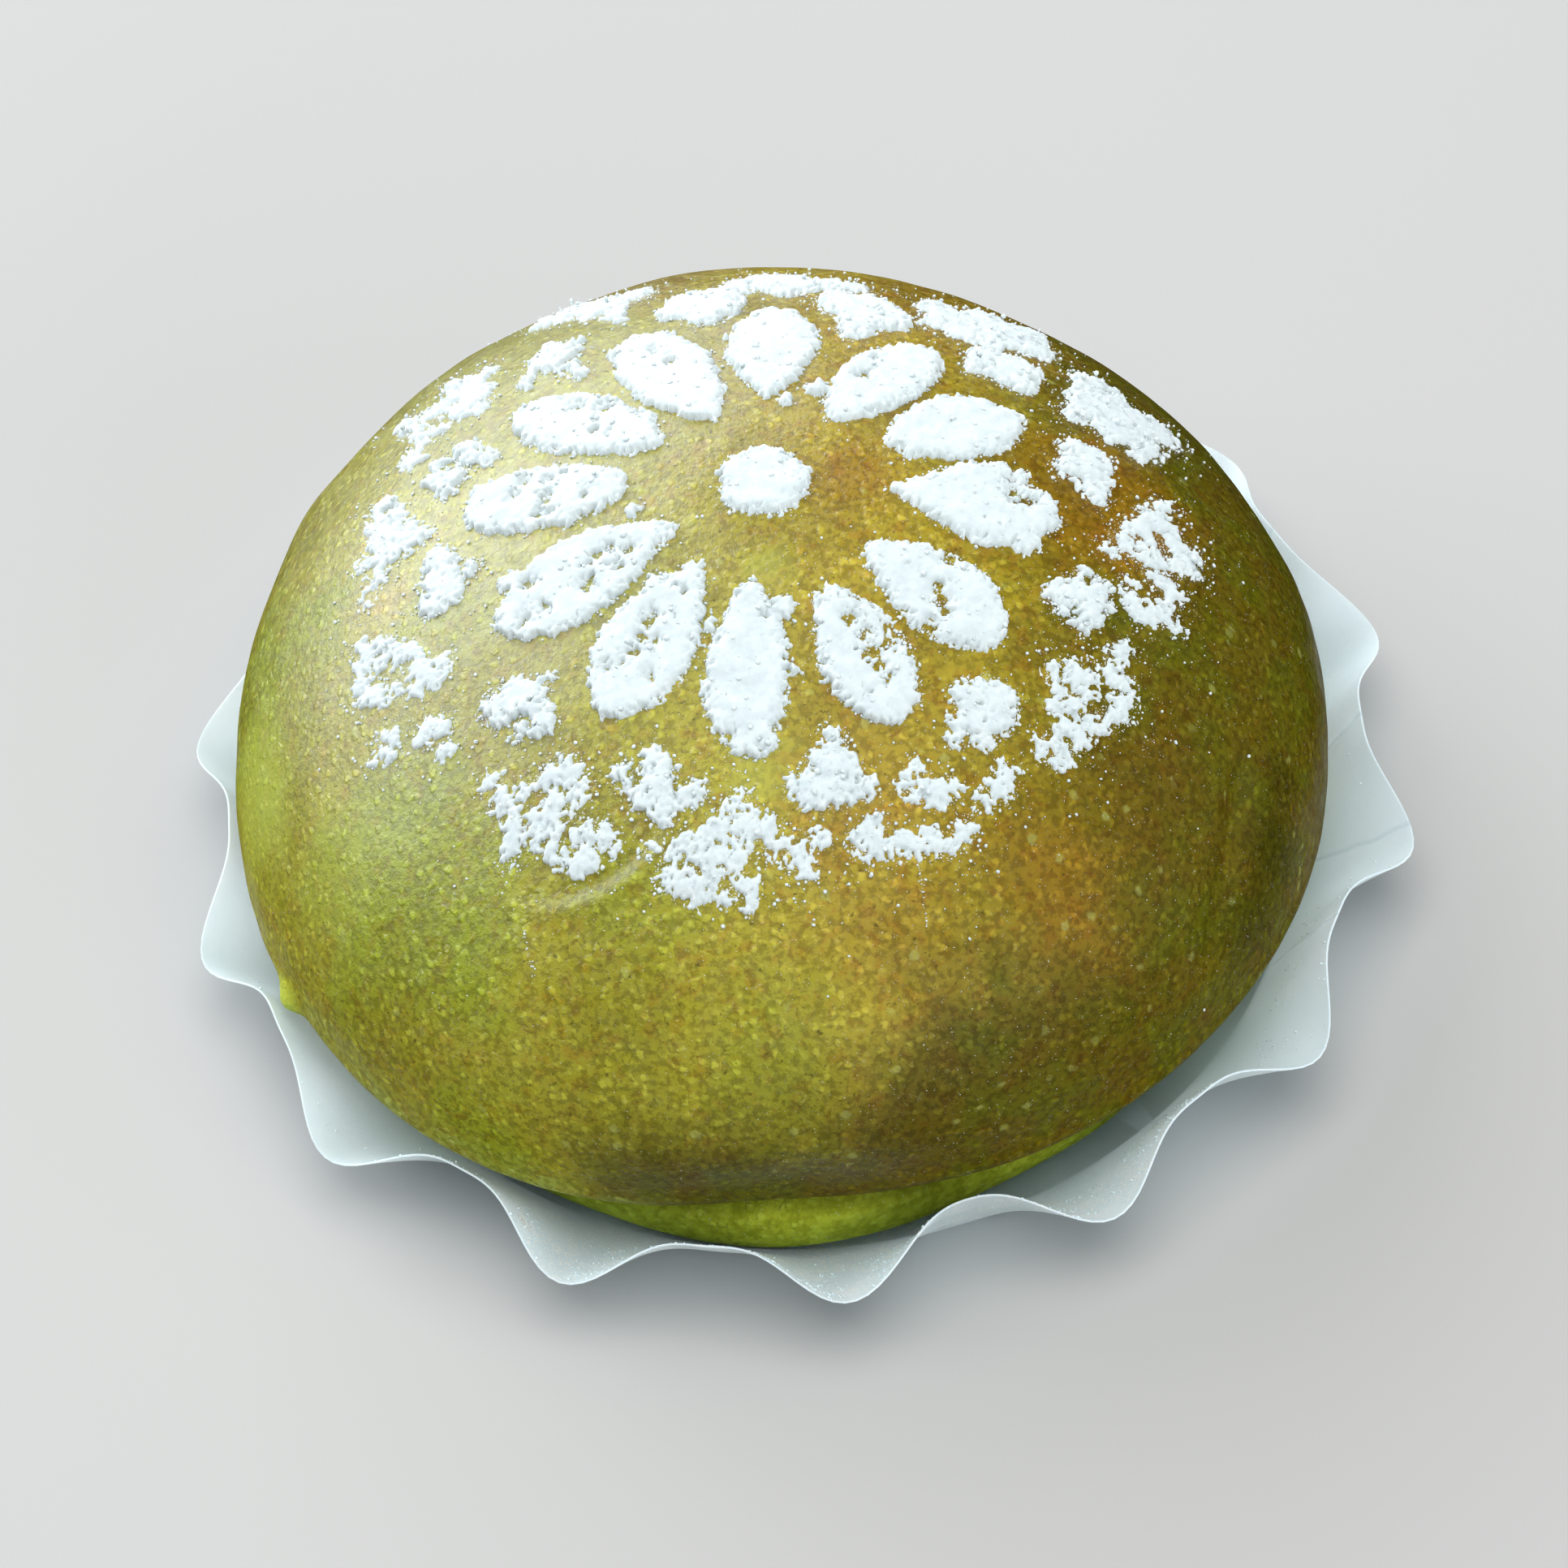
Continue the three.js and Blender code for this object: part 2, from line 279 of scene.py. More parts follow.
# What the knocks did to each petal: where sugar clumped (lumps) or fell away (bites), as x, y, radius in mm
petalWear = [
    {"lumps": [(4.1, 14.3, 0.7), (7.2, 15.8, 1.0), (6.6, 15.6, 0.6)]},
    {"bites": [(11.5, 17.4, 0.5), (11.9, 18.2, 0.3), (13.0, 20.7, 0.3), (16.9, 24.4, 0.7)]},
    {"lumps": [(24.9, 12.6, 1.5), (15.6, 7.2, 1.5)],
     "bites": [(24.2, 14.9, 0.5)]},
    {"lumps": [(25.4, 4.4, 0.8), (27.3, 1.9, 0.9), (24.9, -3.4, 1.5), (23.0, 4.9, 1.1), (27.2, -0.6, 1.3)],
     "bites": [(24.2, 2.4, 0.8), (25.2, 1.4, 0.8), (26.2, 3.6, 0.7), (24.1, 1.1, 0.5), (26.2, 1.3, 0.5),
               (24.0, 3.7, 0.5)]},
    {"lumps": [(11.2, -6.4, 1.5), (13.9, -11.5, 1.0), (14.6, -12.2, 0.6), (12.9, -10.0, 1.0),
               (19.6, -14.2, 1.5)],
     "bites": [(16.6, -10.9, 0.95), (16.4, -9.7, 0.6), (16.8, -12.1, 0.5), (17.4, -6.6, 0.6),
               (15.1, -13.9, 0.9)]},
    {"lumps": [(6.2, -11.2, 1.3), (9.0, -12.7, 0.5), (9.8, -13.7, 0.6), (10.6, -14.8, 0.5),
               (12.1, -17.3, 0.9), (11.9, -18.3, 1.0), (12.6, -20.6, 0.9), (5.6, -14.8, 0.8),
               (5.7, -18.6, 0.7)],
     "bites": [(8.0, -13.3, 0.8), (8.9, -14.6, 0.7), (9.7, -16.4, 1.2), (10.0, -17.8, 0.8),
               (11.4, -15.6, 0.7), (10.6, -18.9, 0.45), (12.4, -14.6, 1.3), (4.3, -16.9, 0.6),
               (8.7, -11.2, 0.5)]},
    {"lumps": [(1.6, -11.6, 1.2), (-2.3, -24.9, 1.0), (-0.9, -24.5, 1.0), (-3.6, -24.4, 0.6),
               (1.3, -17.4, 0.8), (2.5, -17.9, 0.4)],
     "bites": [(0.2, -12.3, 0.25), (-4.3, -23.6, 0.45), (-5.2, -24.4, 0.8), (1.4, -24.4, 0.8)]},
    {"lumps": [(-6.3, -6.7, 1.0), (-5.0, -12.0, 0.5), (-5.0, -12.6, 0.45), (-9.6, -7.4, 1.2)],
     "bites": [(-10.3, -10.5, 0.4), (-10.8, -11.6, 0.35), (-11.5, -12.6, 0.5), (-10.3, -13.2, 0.35),
               (-12.3, -14.0, 0.3), (-13.5, -14.8, 0.3), (-14.7, -15.1, 0.25), (-11.1, -16.8, 0.4)]},
    {"lumps": [(-8.9, -1.6, 1.2), (-23.2, -2.9, 1.2), (-24.0, -6.6, 1.3)],
     "bites": [(-16.2, -5.8, 0.65), (-15.0, -2.6, 0.5), (-13.9, -2.2, 0.3), (-13.2, -3.9, 0.3),
               (-12.1, -3.0, 0.45), (-21.7, -3.7, 0.55), (-22.1, -7.7, 0.5), (-20.4, -6.9, 0.35),
               (-25.1, -4.9, 0.5)]},
    {"lumps": [(-11.3, 1.7, 0.8), (-17.7, 2.7, 0.9), (-25.6, 9.4, 1.2)],
     "bites": [(-21.5, 8.8, 0.5), (-22.6, 7.4, 0.35), (-19.0, 8.2, 0.5), (-19.2, 6.3, 0.35),
               (-20.2, 4.1, 0.5), (-19.1, 3.6, 0.3), (-15.7, 4.8, 0.35), (-14.4, 9.2, 0.8)]},
    {"lumps": [(-15.5, 19.0, 1.0), (-10.2, 13.3, 1.6)],
     "bites": [(-15.9, 17.8, 0.6), (-17.4, 19.9, 0.3), (-13.4, 16.4, 0.7), (-14.3, 13.4, 0.45),
               (-13.2, 12.6, 0.35), (-18.3, 12.4, 0.5)]},
    {"lumps": [(-7.5, 26.9, 1.4), (-10.9, 25.8, 1.5)],
     "bites": [(-6.8, 22.3, 0.45), (-8.3, 24.7, 0.3)]},
]

# The smaller patches between the petals' ends, clockwise from the back, as clumps of x, y, radius in mm
smallPatches = [
    [(12.4, 31.0, 3.3), (10.2, 32.6, 2.1), (14.6, 29.0, 2.1), (11.8, 27.0, 1.8), (11.0, 25.6, 1.0)],
    [(24.2, 22.3, 2.3), (26.7, 21.8, 2.1), (25.5, 20.2, 1.7), (26.8, 18.8, 1.0), (22.6, 20.7, 0.9)],
    [(31.0, 9.8, 1.5), (32.5, 9.0, 1.5), (30.2, 7.1, 1.3), (32.2, 6.6, 1.6), (32.4, 4.5, 1.2),
     (33.7, 8.7, 0.9)],
    [(27.6, -9.0, 1.2), (29.0, -8.4, 1.3), (31.0, -8.6, 1.4), (30.1, -10.4, 1.1), (29.4, -12.0, 0.6),
     (30.3, -6.2, 0.7), (31.7, -7.2, 0.8), (27.6, -10.8, 0.3)],
    [(18.4, -20.7, 1.7), (20.8, -20.7, 1.7), (18.2, -22.6, 1.3), (20.4, -22.4, 1.6), (19.2, -24.0, 0.8),
     (21.2, -19.8, 1.1), (16.7, -23.4, 0.7), (16.5, -24.6, 0.4)],
    [(5.3, -24.4, 0.7), (5.2, -25.7, 1.2), (4.4, -26.9, 1.6), (6.2, -27.4, 1.3), (1.3, -28.6, 0.9),
     (2.7, -28.5, 1.3), (4.5, -28.9, 1.7), (2.5, -29.8, 0.7), (5.7, -29.5, 1.0), (7.3, -28.9, 0.9),
     (8.2, -28.9, 0.5)],
    [(-11.2, -24.4, 0.9), (-12.0, -24.8, 0.6), (-10.6, -25.5, 0.9), (-14.4, -25.2, 0.8), (-14.2, -26.4, 0.6),
     (-12.6, -26.9, 1.0), (-11.2, -27.0, 1.7), (-12.5, -28.3, 0.9), (-10.7, -28.9, 1.1), (-10.9, -29.9, 0.6),
     (-8.2, -28.2, 0.9), (-7.2, -27.9, 0.6), (-8.9, -28.6, 0.5)],
    [(-25.2, -16.0, 1.6), (-23.3, -15.4, 1.9), (-21.9, -15.2, 1.1), (-25.9, -15.4, 1.1), (-21.9, -17.2, 1.1),
     (-21.4, -18.8, 1.1), (-23.5, -18.6, 0.7), (-20.3, -14.2, 0.3)],
    [(-30.2, 2.4, 1.5), (-30.0, 0.2, 2.0), (-30.9, -2.0, 1.4), (-29.3, -1.2, 1.3), (-30.1, 3.7, 0.6),
     (-26.7, 0.7, 0.4), (-27.6, 0.3, 0.4)],
    [(-29.8, 16.6, 0.8), (-30.3, 14.2, 1.0), (-28.6, 13.4, 1.2), (-29.2, 11.9, 0.7), (-27.3, 17.0, 1.1),
     (-26.4, 15.9, 0.9), (-24.9, 14.4, 0.7), (-25.6, 15.2, 0.5), (-27.3, 15.2, 0.6), (-31.0, 15.3, 0.4)],
    [(-18.0, 29.8, 1.4), (-19.3, 28.4, 1.1), (-17.0, 28.4, 1.4), (-20.3, 26.5, 0.8), (-21.0, 24.7, 0.7),
     (-18.3, 26.9, 1.2), (-16.5, 25.5, 1.0), (-15.7, 24.0, 0.7), (-16.0, 30.2, 0.7)],
    [(-3.4, 33.6, 3.2), (-5.8, 32.8, 1.8), (-1.6, 31.8, 2.0), (-3.0, 30.2, 1.3), (-0.8, 34.8, 1.6)],
]

# The larger, thinner patches outside the petals, in the same order
largePatches = [
    [(3.4, 38.2, 2.6), (6.6, 37.6, 2.3), (0.4, 37.4, 1.7), (10.2, 37.6, 1.5), (12.0, 36.8, 1.3),
     (5.0, 35.6, 1.2)],
    [(21.0, 31.4, 2.6), (24.4, 32.4, 2.5), (26.2, 29.0, 2.8), (22.6, 28.2, 2.0), (28.8, 27.4, 1.9),
     (19.6, 34.0, 1.5), (28.6, 31.4, 1.9), (18.6, 29.6, 1.1), (24.6, 26.2, 1.2)],
    [(34.3, 22.6, 2.1), (33.8, 18.6, 2.6), (37.4, 17.6, 2.8), (31.8, 16.0, 1.5), (35.5, 14.7, 2.1),
     (38.3, 13.6, 1.7), (40.4, 17.6, 1.7), (37.3, 11.7, 0.9), (39.4, 19.4, 1.1), (36.3, 21.4, 1.3)],
    [(33.5, -2.2, 0.9), (34.6, -1.0, 1.1), (35.0, 0.6, 0.9), (36.4, 1.6, 1.1), (37.6, 3.4, 1.2),
     (39.0, 5.1, 1.1), (38.7, 2.0, 1.2), (37.2, 0.0, 1.0), (36.2, -1.8, 1.1), (39.5, 0.0, 1.1),
     (41.2, 0.2, 0.8), (40.6, -1.6, 1.1), (38.5, -2.4, 1.1), (37.4, -4.2, 0.9), (38.6, -5.6, 1.0),
     (34.6, -5.8, 0.5), (34.6, -7.6, 0.9), (35.6, -8.8, 1.0), (37.3, -8.2, 1.1), (38.0, -6.9, 0.9),
     (38.6, -9.6, 0.5)],
    [(33.0, -13.1, 0.6), (32.4, -14.4, 0.9), (31.6, -16.0, 1.0), (32.8, -16.6, 1.1), (32.4, -18.6, 1.2),
     (31.6, -20.3, 1.0), (30.4, -21.3, 0.6), (26.5, -17.0, 1.0), (28.3, -16.8, 0.9), (29.8, -16.5, 0.8),
     (26.6, -18.5, 0.6), (26.2, -20.3, 0.7), (28.0, -20.1, 1.0), (28.9, -18.6, 0.8), (29.2, -21.6, 0.9),
     (28.0, -22.6, 1.1), (26.6, -22.6, 0.8), (26.2, -24.2, 1.1), (24.7, -24.4, 0.7), (25.6, -25.5, 0.7)],
    [(12.3, -26.8, 0.6), (13.0, -27.0, 0.3), (11.8, -28.0, 0.4), (11.2, -28.9, 0.5), (13.4, -28.8, 0.9),
     (14.2, -29.6, 1.1), (15.4, -28.8, 0.8), (16.1, -28.9, 0.6), (12.1, -29.9, 0.3), (20.9, -27.2, 0.6),
     (20.6, -28.0, 0.9), (19.8, -28.9, 0.8), (18.8, -29.7, 0.7), (20.6, -26.1, 0.3), (8.5, -31.9, 0.7),
     (7.2, -32.8, 1.0), (6.8, -33.8, 0.8), (8.0, -34.0, 0.9), (9.6, -34.2, 0.8), (11.0, -33.8, 1.0),
     (12.3, -34.0, 0.8), (13.7, -33.5, 0.9), (14.8, -33.9, 0.6), (15.6, -33.2, 0.6), (16.6, -32.4, 0.6),
     (17.3, -31.9, 0.4)],
    [(-4.1, -29.2, 0.8), (-4.0, -30.4, 1.3), (-5.9, -31.6, 1.2), (-7.8, -32.3, 1.2), (-9.4, -32.7, 0.9),
     (-10.8, -33.2, 0.8), (-12.4, -32.3, 0.5), (-3.0, -32.0, 1.3), (-1.6, -31.8, 0.9), (-1.3, -33.2, 0.8),
     (0.2, -33.2, 0.6), (1.0, -34.2, 0.8), (-0.1, -35.0, 0.4), (1.8, -35.7, 0.8), (2.7, -33.3, 0.5),
     (3.6, -32.9, 0.5), (-11.0, -35.2, 1.0), (-9.6, -35.7, 1.0), (-8.2, -36.2, 1.2), (-6.8, -35.2, 1.1),
     (-7.0, -33.8, 1.3), (-4.9, -34.0, 1.3), (-6.2, -37.0, 0.8), (-4.2, -36.6, 1.0), (-3.2, -36.3, 0.5),
     (-3.9, -38.1, 0.3)],
    [(-26.6, -22.8, 0.9), (-25.6, -24.3, 1.2), (-23.5, -24.2, 0.8), (-21.5, -24.2, 1.1), (-19.6, -24.0, 1.5),
     (-18.6, -26.0, 1.1), (-18.7, -27.2, 0.7), (-24.8, -27.0, 1.1), (-23.0, -27.6, 1.2), (-21.3, -27.2, 1.2),
     (-20.2, -26.2, 0.9), (-25.3, -28.8, 0.7), (-22.0, -29.3, 0.8), (-21.2, -30.8, 0.8), (-19.3, -29.8, 0.5),
     (-18.3, -29.6, 0.9), (-16.6, -30.2, 0.8), (-18.6, -31.8, 1.3), (-15.8, -31.2, 0.5), (-25.6, -30.7, 0.3),
     (-25.4, -25.6, 0.6)],
    [(-38.4, -2.6, 0.7), (-37.8, -4.0, 1.1), (-36.4, -4.2, 1.0), (-35.2, -5.3, 1.0), (-33.8, -6.4, 1.0),
     (-32.8, -8.2, 0.9), (-31.6, -9.4, 1.4), (-33.2, -10.4, 0.9), (-30.3, -9.0, 0.6), (-38.9, -7.0, 0.9),
     (-38.6, -8.4, 0.6), (-37.4, -8.7, 0.8), (-36.4, -9.8, 0.8), (-35.0, -9.4, 0.9), (-38.3, -5.6, 0.8),
     (-36.8, -5.9, 0.7), (-35.0, -7.0, 0.6), (-36.8, -13.4, 0.6), (-35.8, -14.4, 0.7), (-36.3, -15.6, 0.7),
     (-37.8, -15.2, 0.4), (-31.7, -15.2, 1.1), (-33.0, -16.0, 0.7), (-30.8, -15.7, 0.7), (-31.2, -17.9, 0.5),
     (-30.3, -18.0, 0.4)],
    [(-35.4, 14.0, 1.4), (-36.2, 12.0, 1.4), (-34.6, 11.8, 1.4), (-35.3, 9.6, 1.7), (-33.4, 8.4, 1.3),
     (-35.6, 7.0, 1.4), (-36.3, 5.5, 0.7), (-32.0, 7.2, 0.8), (-36.2, 4.0, 0.4), (-38.2, 7.5, 0.7),
     (-34.0, 6.6, 0.9), (-38.0, 3.0, 0.5), (-37.5, 2.0, 0.5)],
    [(-28.5, 28.0, 1.3), (-26.5, 29.0, 1.4), (-25.1, 30.2, 1.1), (-26.0, 26.5, 1.7), (-27.3, 24.2, 1.5),
     (-25.6, 23.7, 1.1), (-29.0, 26.0, 1.1), (-30.5, 27.0, 1.0), (-31.5, 25.0, 0.8), (-33.3, 27.5, 0.9),
     (-32.8, 25.6, 1.0), (-32.0, 23.0, 0.7), (-30.3, 22.5, 1.0), (-32.4, 21.0, 0.8), (-32.7, 19.1, 1.2),
     (-28.4, 30.6, 0.9)],
    [(-16.0, 39.0, 2.3), (-12.4, 38.4, 2.2), (-11.8, 35.0, 1.2), (-11.8, 33.0, 0.6), (-18.8, 38.0, 1.4),
     (-9.6, 39.4, 1.6), (-14.2, 36.6, 1.2)],
]


# Distance in mm inside a petal: a drop that is widest past its middle
def petalField(along, across, begin, end, width, point):
    share = np.clip((along - begin) / (end - begin), 0, 1)
    half = width / 2 * np.clip(np.sin(math.pi * share ** (1 + 0.5 * point)), 0, 1) ** point
    return np.minimum(half - np.abs(across), np.minimum(along - begin, end - along))


# Distance in mm inside a heap of clumps that run into each other
def clumpField(clumps, x, y, blend=0.3):
    total = np.zeros_like(x)
    for clumpX, clumpY, radius in clumps:
        total += np.exp(np.clip((radius - np.hypot(x - clumpX, y - clumpY)) / blend, -40, 20))
    return blend * np.log(total + 1e-12)


# The three kinds of patch, each as a distance field over the plan, and how worn the petals are
def rosetteFields(x, y):
    left, up = x - rosette["x"], y - rosette["y"]
    petals = rosette["dotRadius"] + 0.15 * np.cos(5 * np.arctan2(up, left)) - np.hypot(left - 0.15, up - 0.05)
    worn = np.zeros_like(x)
    for place, (begin, end, width, turn, point) in enumerate(rosette["petals"]):
        angle = math.radians(rosette["turn"] + 90 + turn - place * 360 / rosette["count"])
        along = left * math.cos(angle) + up * math.sin(angle)
        across = up * math.cos(angle) - left * math.sin(angle)
        petal = petalField(along, across, begin, end, width, point)
        wear = petalWear[place]
        if "lumps" in wear:
            petal = np.maximum(petal, clumpField(wear["lumps"], x, y, 0.15))
        for biteX, biteY, radius in wear.get("bites", []):
            gap = np.hypot(x - biteX, y - biteY)
            petal = np.minimum(petal, gap - 0.62 * radius)
            worn = np.maximum(worn, np.exp(-np.clip(gap - radius, 0, 20) / 0.6))
        petals = np.maximum(petals, petal)
    return {"petal": petals,
            "small": clumpField([clump for patch in smallPatches for clump in patch], x, y),
            "large": clumpField([clump for patch in largePatches for clump in patch], x, y),
            "worn": worn}


# How each kind lies: how full its edge is, its crumbling in mm, its holes and flecks, and its depth in mm
sugarBody = {
    "petal": {"fuller": 0.1, "crumble": 0.62, "holes": 1.0, "flecks": 0.42, "depth": 0.85, "seed": 21},
    "small": {"fuller": 0.1, "crumble": 0.72, "holes": 0.88, "flecks": 0.3, "depth": 0.75, "seed": 22},
    "large": {"fuller": 0.08, "crumble": 0.95, "holes": 0.62, "flecks": 0.05, "depth": 0.5, "seed": 23},
}

# The powder's lumps, each layer given as strength, size in mm and seed
powder = {
    "crumbs": [(0.3, 1.6, 0), (0.4, 0.8, 10), (0.8, 0.42, 20), (0.55, 0.24, 50)],
    "heaps": [(0.35, 3.0, 31), (0.26, 1.4, 32), (0.1, 0.7, 33), (0.1, 0.3, 34)],
    "holeSize": 0.64,
    "fleckSize": 0.4,
    "bend": 0.55,  # how far the holes and flecks are bent out of shape, in mm
}


# How much loose sugar lies at a place: little round the petals, more round the thin outer patches
def dustiness(x, y):
    fields = {kind: np.clip(field, -12, 0) for kind, field in rosetteFields(x, y).items()}
    around = 0.8 * np.exp(np.maximum(fields["small"], fields["large"]) / 0.35)
    around = np.maximum(around, 0.14 * np.exp(fields["large"] / 1.5))
    return np.maximum(around, 0.6 * np.exp(fields["petal"] / 0.25))


# Point on the crust above a place on the plan, and the direction out of it
def crustPoint(x, y):
    step = 0.4
    slopeX = (domeHeight(x + step, y) - domeHeight(x - step, y)) / (2 * step)
    slopeY = (domeHeight(x, y + step) - domeHeight(x, y - step)) / (2 * step)
    out = unit(np.column_stack([-slopeX, -slopeY, np.ones_like(x)]))
    point = np.column_stack([x, y, domeHeight(x, y)])
    return point + out * crustRelief(point)[:, None], out


def crumbledField(kind, field, worn, x, y):
    body = sugarBody[kind]
    seed = body["seed"]
    spot = flat(x, y)
    field = field + body["fuller"] + body["crumble"] * layers(spot, powder["crumbs"], seed)
    bent = spot + powder["bend"] * flat(lumpField(spot, 0.7, seed + 70), lumpField(spot, 0.7, seed + 80))
    hole = lumpField(bent, powder["holeSize"], seed + 30) + 0.25 * lumpField(spot, 4, seed + 40)
    fleck = lumpField(bent, powder["fleckSize"], seed + 60)
    if kind == "petal":
        hole = hole + 0.3 * worn
        fleck = fleck + 0.75 * worn
    return np.minimum(field, np.minimum((body["holes"] - hole) * 5, (0.78 + body["flecks"] - fleck) * 4))


def makeSugar(kind):
    body = sugarBody[kind]
    line = np.arange(-rosette["edge"], rosette["edge"], rosette["cell"])
    gridX, gridY = np.meshgrid(line, line)
    jitter = np.random.default_rng(body["seed"]).uniform(-0.3, 0.3, (2,) + gridX.shape) * rosette["cell"]
    x, y = (gridX + jitter[0]).ravel(), (gridY + jitter[1]).ravel()
    fields = rosetteFields(x, y)
    field = crumbledField(kind, fields[kind], fields["worn"], x, y)
    near = field > -1.2
    deep = np.full_like(x, -9.0)
    lumps = np.zeros_like(x)
    lumps[near] = layers(flat(x, y)[near], powder["heaps"])
    if kind == "petal":
        lumps -= 0.45 * fields["worn"]
    inside = np.clip(field, 0, None)
    heap = body["depth"] * (1 - np.exp(-inside / 0.35)) * (1 + 0.6 * lumps)
    deep[near] = np.where(field > 0, heap, np.clip(field, -0.3, 0) * 0.8)[near]
    # keep the cells where the sugar shows, and a rim that sinks into the crust
    side = len(line)
    keep = deep.reshape(side, side)
    cellTop = np.maximum(np.maximum(keep[:-1, :-1], keep[1:, :-1]), np.maximum(keep[:-1, 1:], keep[1:, 1:]))
    rows, columns = np.nonzero(cellTop > 0)
    corner = rows * side + columns
    quads = np.column_stack([corner, corner + 1, corner + side + 1, corner + side])
    used, quads = np.unique(quads, return_inverse=True)
    quads = quads.reshape(-1, 4)
    base, out = crustPoint(x[used], y[used])
    top = base + out * np.clip(deep[used], -0.24, None)[:, None]
    under = base - out * 0.5
    points = (np.vstack([top, under]) + bunShift) * mm
    count = len(used)
    edges = np.vstack([quads[:, [0, 1]], quads[:, [1, 2]], quads[:, [2, 3]], quads[:, [3, 0]]])
    keys = edges[:, 0] * count + edges[:, 1]
    border = edges[~np.isin(keys, edges[:, 1] * count + edges[:, 0])]
    walls = np.column_stack([border[:, 1], border[:, 0], border[:, 0] + count, border[:, 1] + count])
    faces = np.vstack([quads, quads[:, ::-1] + count, walls])
    sugar = newPiece(f"sugar_{kind}", points, faces)
    print(f"sugar {kind}: {len(faces) * 2} triangles")
    return sugar


# Loose grains: round the rosette, on it, in two short trails, and on the paper
grains = {
    "roundRosette": 8400,
    "onRosette": 900,
    "astray": 160,
    "onPaper": 4200,
    "smallest": 0.055,
    "largest": 0.22,
    "seed": 5,
    "trails": [((12.0, -35.2), (12.3, -41.0)), ((-24.6, -35.6), (-24.2, -39.4))],
    "inTrail": 24,
}


def grainShape():
    ratio = (1 + math.sqrt(5)) / 2
    corners = []
    for a in (-1, 1):
        for b in (-ratio, ratio):
            corners += [(0, a, b), (a, b, 0), (b, 0, a)]
    corners = np.array(corners, dtype=float) / math.hypot(1, ratio)
    faces = []
    for i in range(12):
        for j in range(i + 1, 12):
            for k in range(j + 1, 12):
                a, b, c = corners[[i, j, k]]
                if max(np.linalg.norm(a - b), np.linalg.norm(b - c), np.linalg.norm(a - c)) < 1.1:
                    outward = np.dot(np.cross(b - a, c - a), a + b + c) > 0
                    faces.append((i, j, k) if outward else (i, k, j))
    return corners, np.array(faces)


def makeGrains(name, places, radii, random):
    corners, faces = grainShape()
    count = len(places)
    axes = random.normal(size=(count, 3, 3))
    turn = np.linalg.qr(axes)[0]
    turn[np.linalg.det(turn) < 0] *= -1
    stretch = random.uniform(0.7, 1.25, (count, 1, 3))
    uneven = random.uniform(0.82, 1.15, (count, 12, 1))
    shape = corners[None] * uneven * stretch * radii[:, None, None]
    points = np.einsum("nij,nkj->nki", turn, shape) + places[:, None]
    allFaces = faces[None] + (np.arange(count) * 12)[:, None, None]
    points = points.reshape(-1, 3) + bunShift
    piece = newPiece(name, points * mm, allFaces.reshape(-1, 3))
    print(f"{name}: {count} grains")
    return piece


def makeCrustGrains():
    random = np.random.default_rng(grains["seed"])
    tries = 220000
    x = random.uniform(-46, 46, tries)
    y = random.uniform(-46, 46, tries)
    fields = rosetteFields(x, y)
    field = np.maximum.reduce([fields["petal"], fields["small"], fields["large"] + 0.3])
    patchy = lumpField(flat(x, y), 3.2, 61)
    chance = dustiness(x, y) * (0.3 + 0.7 * smoothStep(-0.5, 0.6, patchy))
    around = np.nonzero((random.random(tries) < chance) & (field < 0.1))[0][:grains["roundRosette"]]
    upon = np.nonzero(field > 0.5)[0][:grains["onRosette"]]
    far = np.nonzero((field < -1) & (np.hypot(x, y) < 44))[0][:grains["astray"]]
    size = grains["smallest"] + (grains["largest"] - grains["smallest"]) * random.random(tries) ** 3
    spots = [np.column_stack([x, y])[i] for i in (around, upon, far)]
    radii = [size[around], size[upon] * 1.5, size[far] * 0.9]
    lifts = [np.zeros(len(around)), np.full(len(upon), 0.7), np.zeros(len(far))]
    count = grains["inTrail"]
    for start, end in grains["trails"]:
        share = random.random(count)[:, None]
        line = np.array(start) * (1 - share) + np.array(end) * share
        spots.append(line + random.normal(0, 0.1, (count, 2)))
        radii.append(random.uniform(0.04, 0.13, count))
        lifts.append(np.zeros(count))
    spots, radii, lifts = np.vstack(spots), np.concatenate(radii), np.concatenate(lifts)
    base, out = crustPoint(spots[:, 0], spots[:, 1])
    places = base + out * (lifts + radii * 0.45)[:, None]
    return makeGrains("sugar_grains", places, radii, random)


# The paper case
paperCase = {
    "baseRadius": 49.3,
    "lobes": 14,
    "firstLobe": 13.0,
    "tipRadius": 61.2,
    "tipHeight": 7.7,
    "valleyRadius": 56.5,
    "valleyHeight": 12.1,
    "thickness": 0.18,
    "columns": 36,
    "rows": 16,
    # where the rim strays from the even form: angle in degrees, change of radius in mm, spread in degrees
    "strays": [(-77.1, -1.7, 6), (-102.9, 0.8, 6), (-64, -1.1, 7), (-151, 1.8, 8)],
    # folds pressed into the valleys on the right: angle in degrees, depth in mm
    "folds": [(25.9, 0.35), (0.15, 0.5), (-25.6, 0.5), (-51.3, 0.35)],
}


def lobeReach(angle):
    phase = (angle - math.radians(paperCase["firstLobe"])) * paperCase["lobes"] / 2
    return (np.cos(phase) ** 2) ** 1.6


def lobeWear(angle):
    return 0.6 * np.sin(2 * angle + 0.7) + 0.4 * np.sin(6 * angle + 2.1)


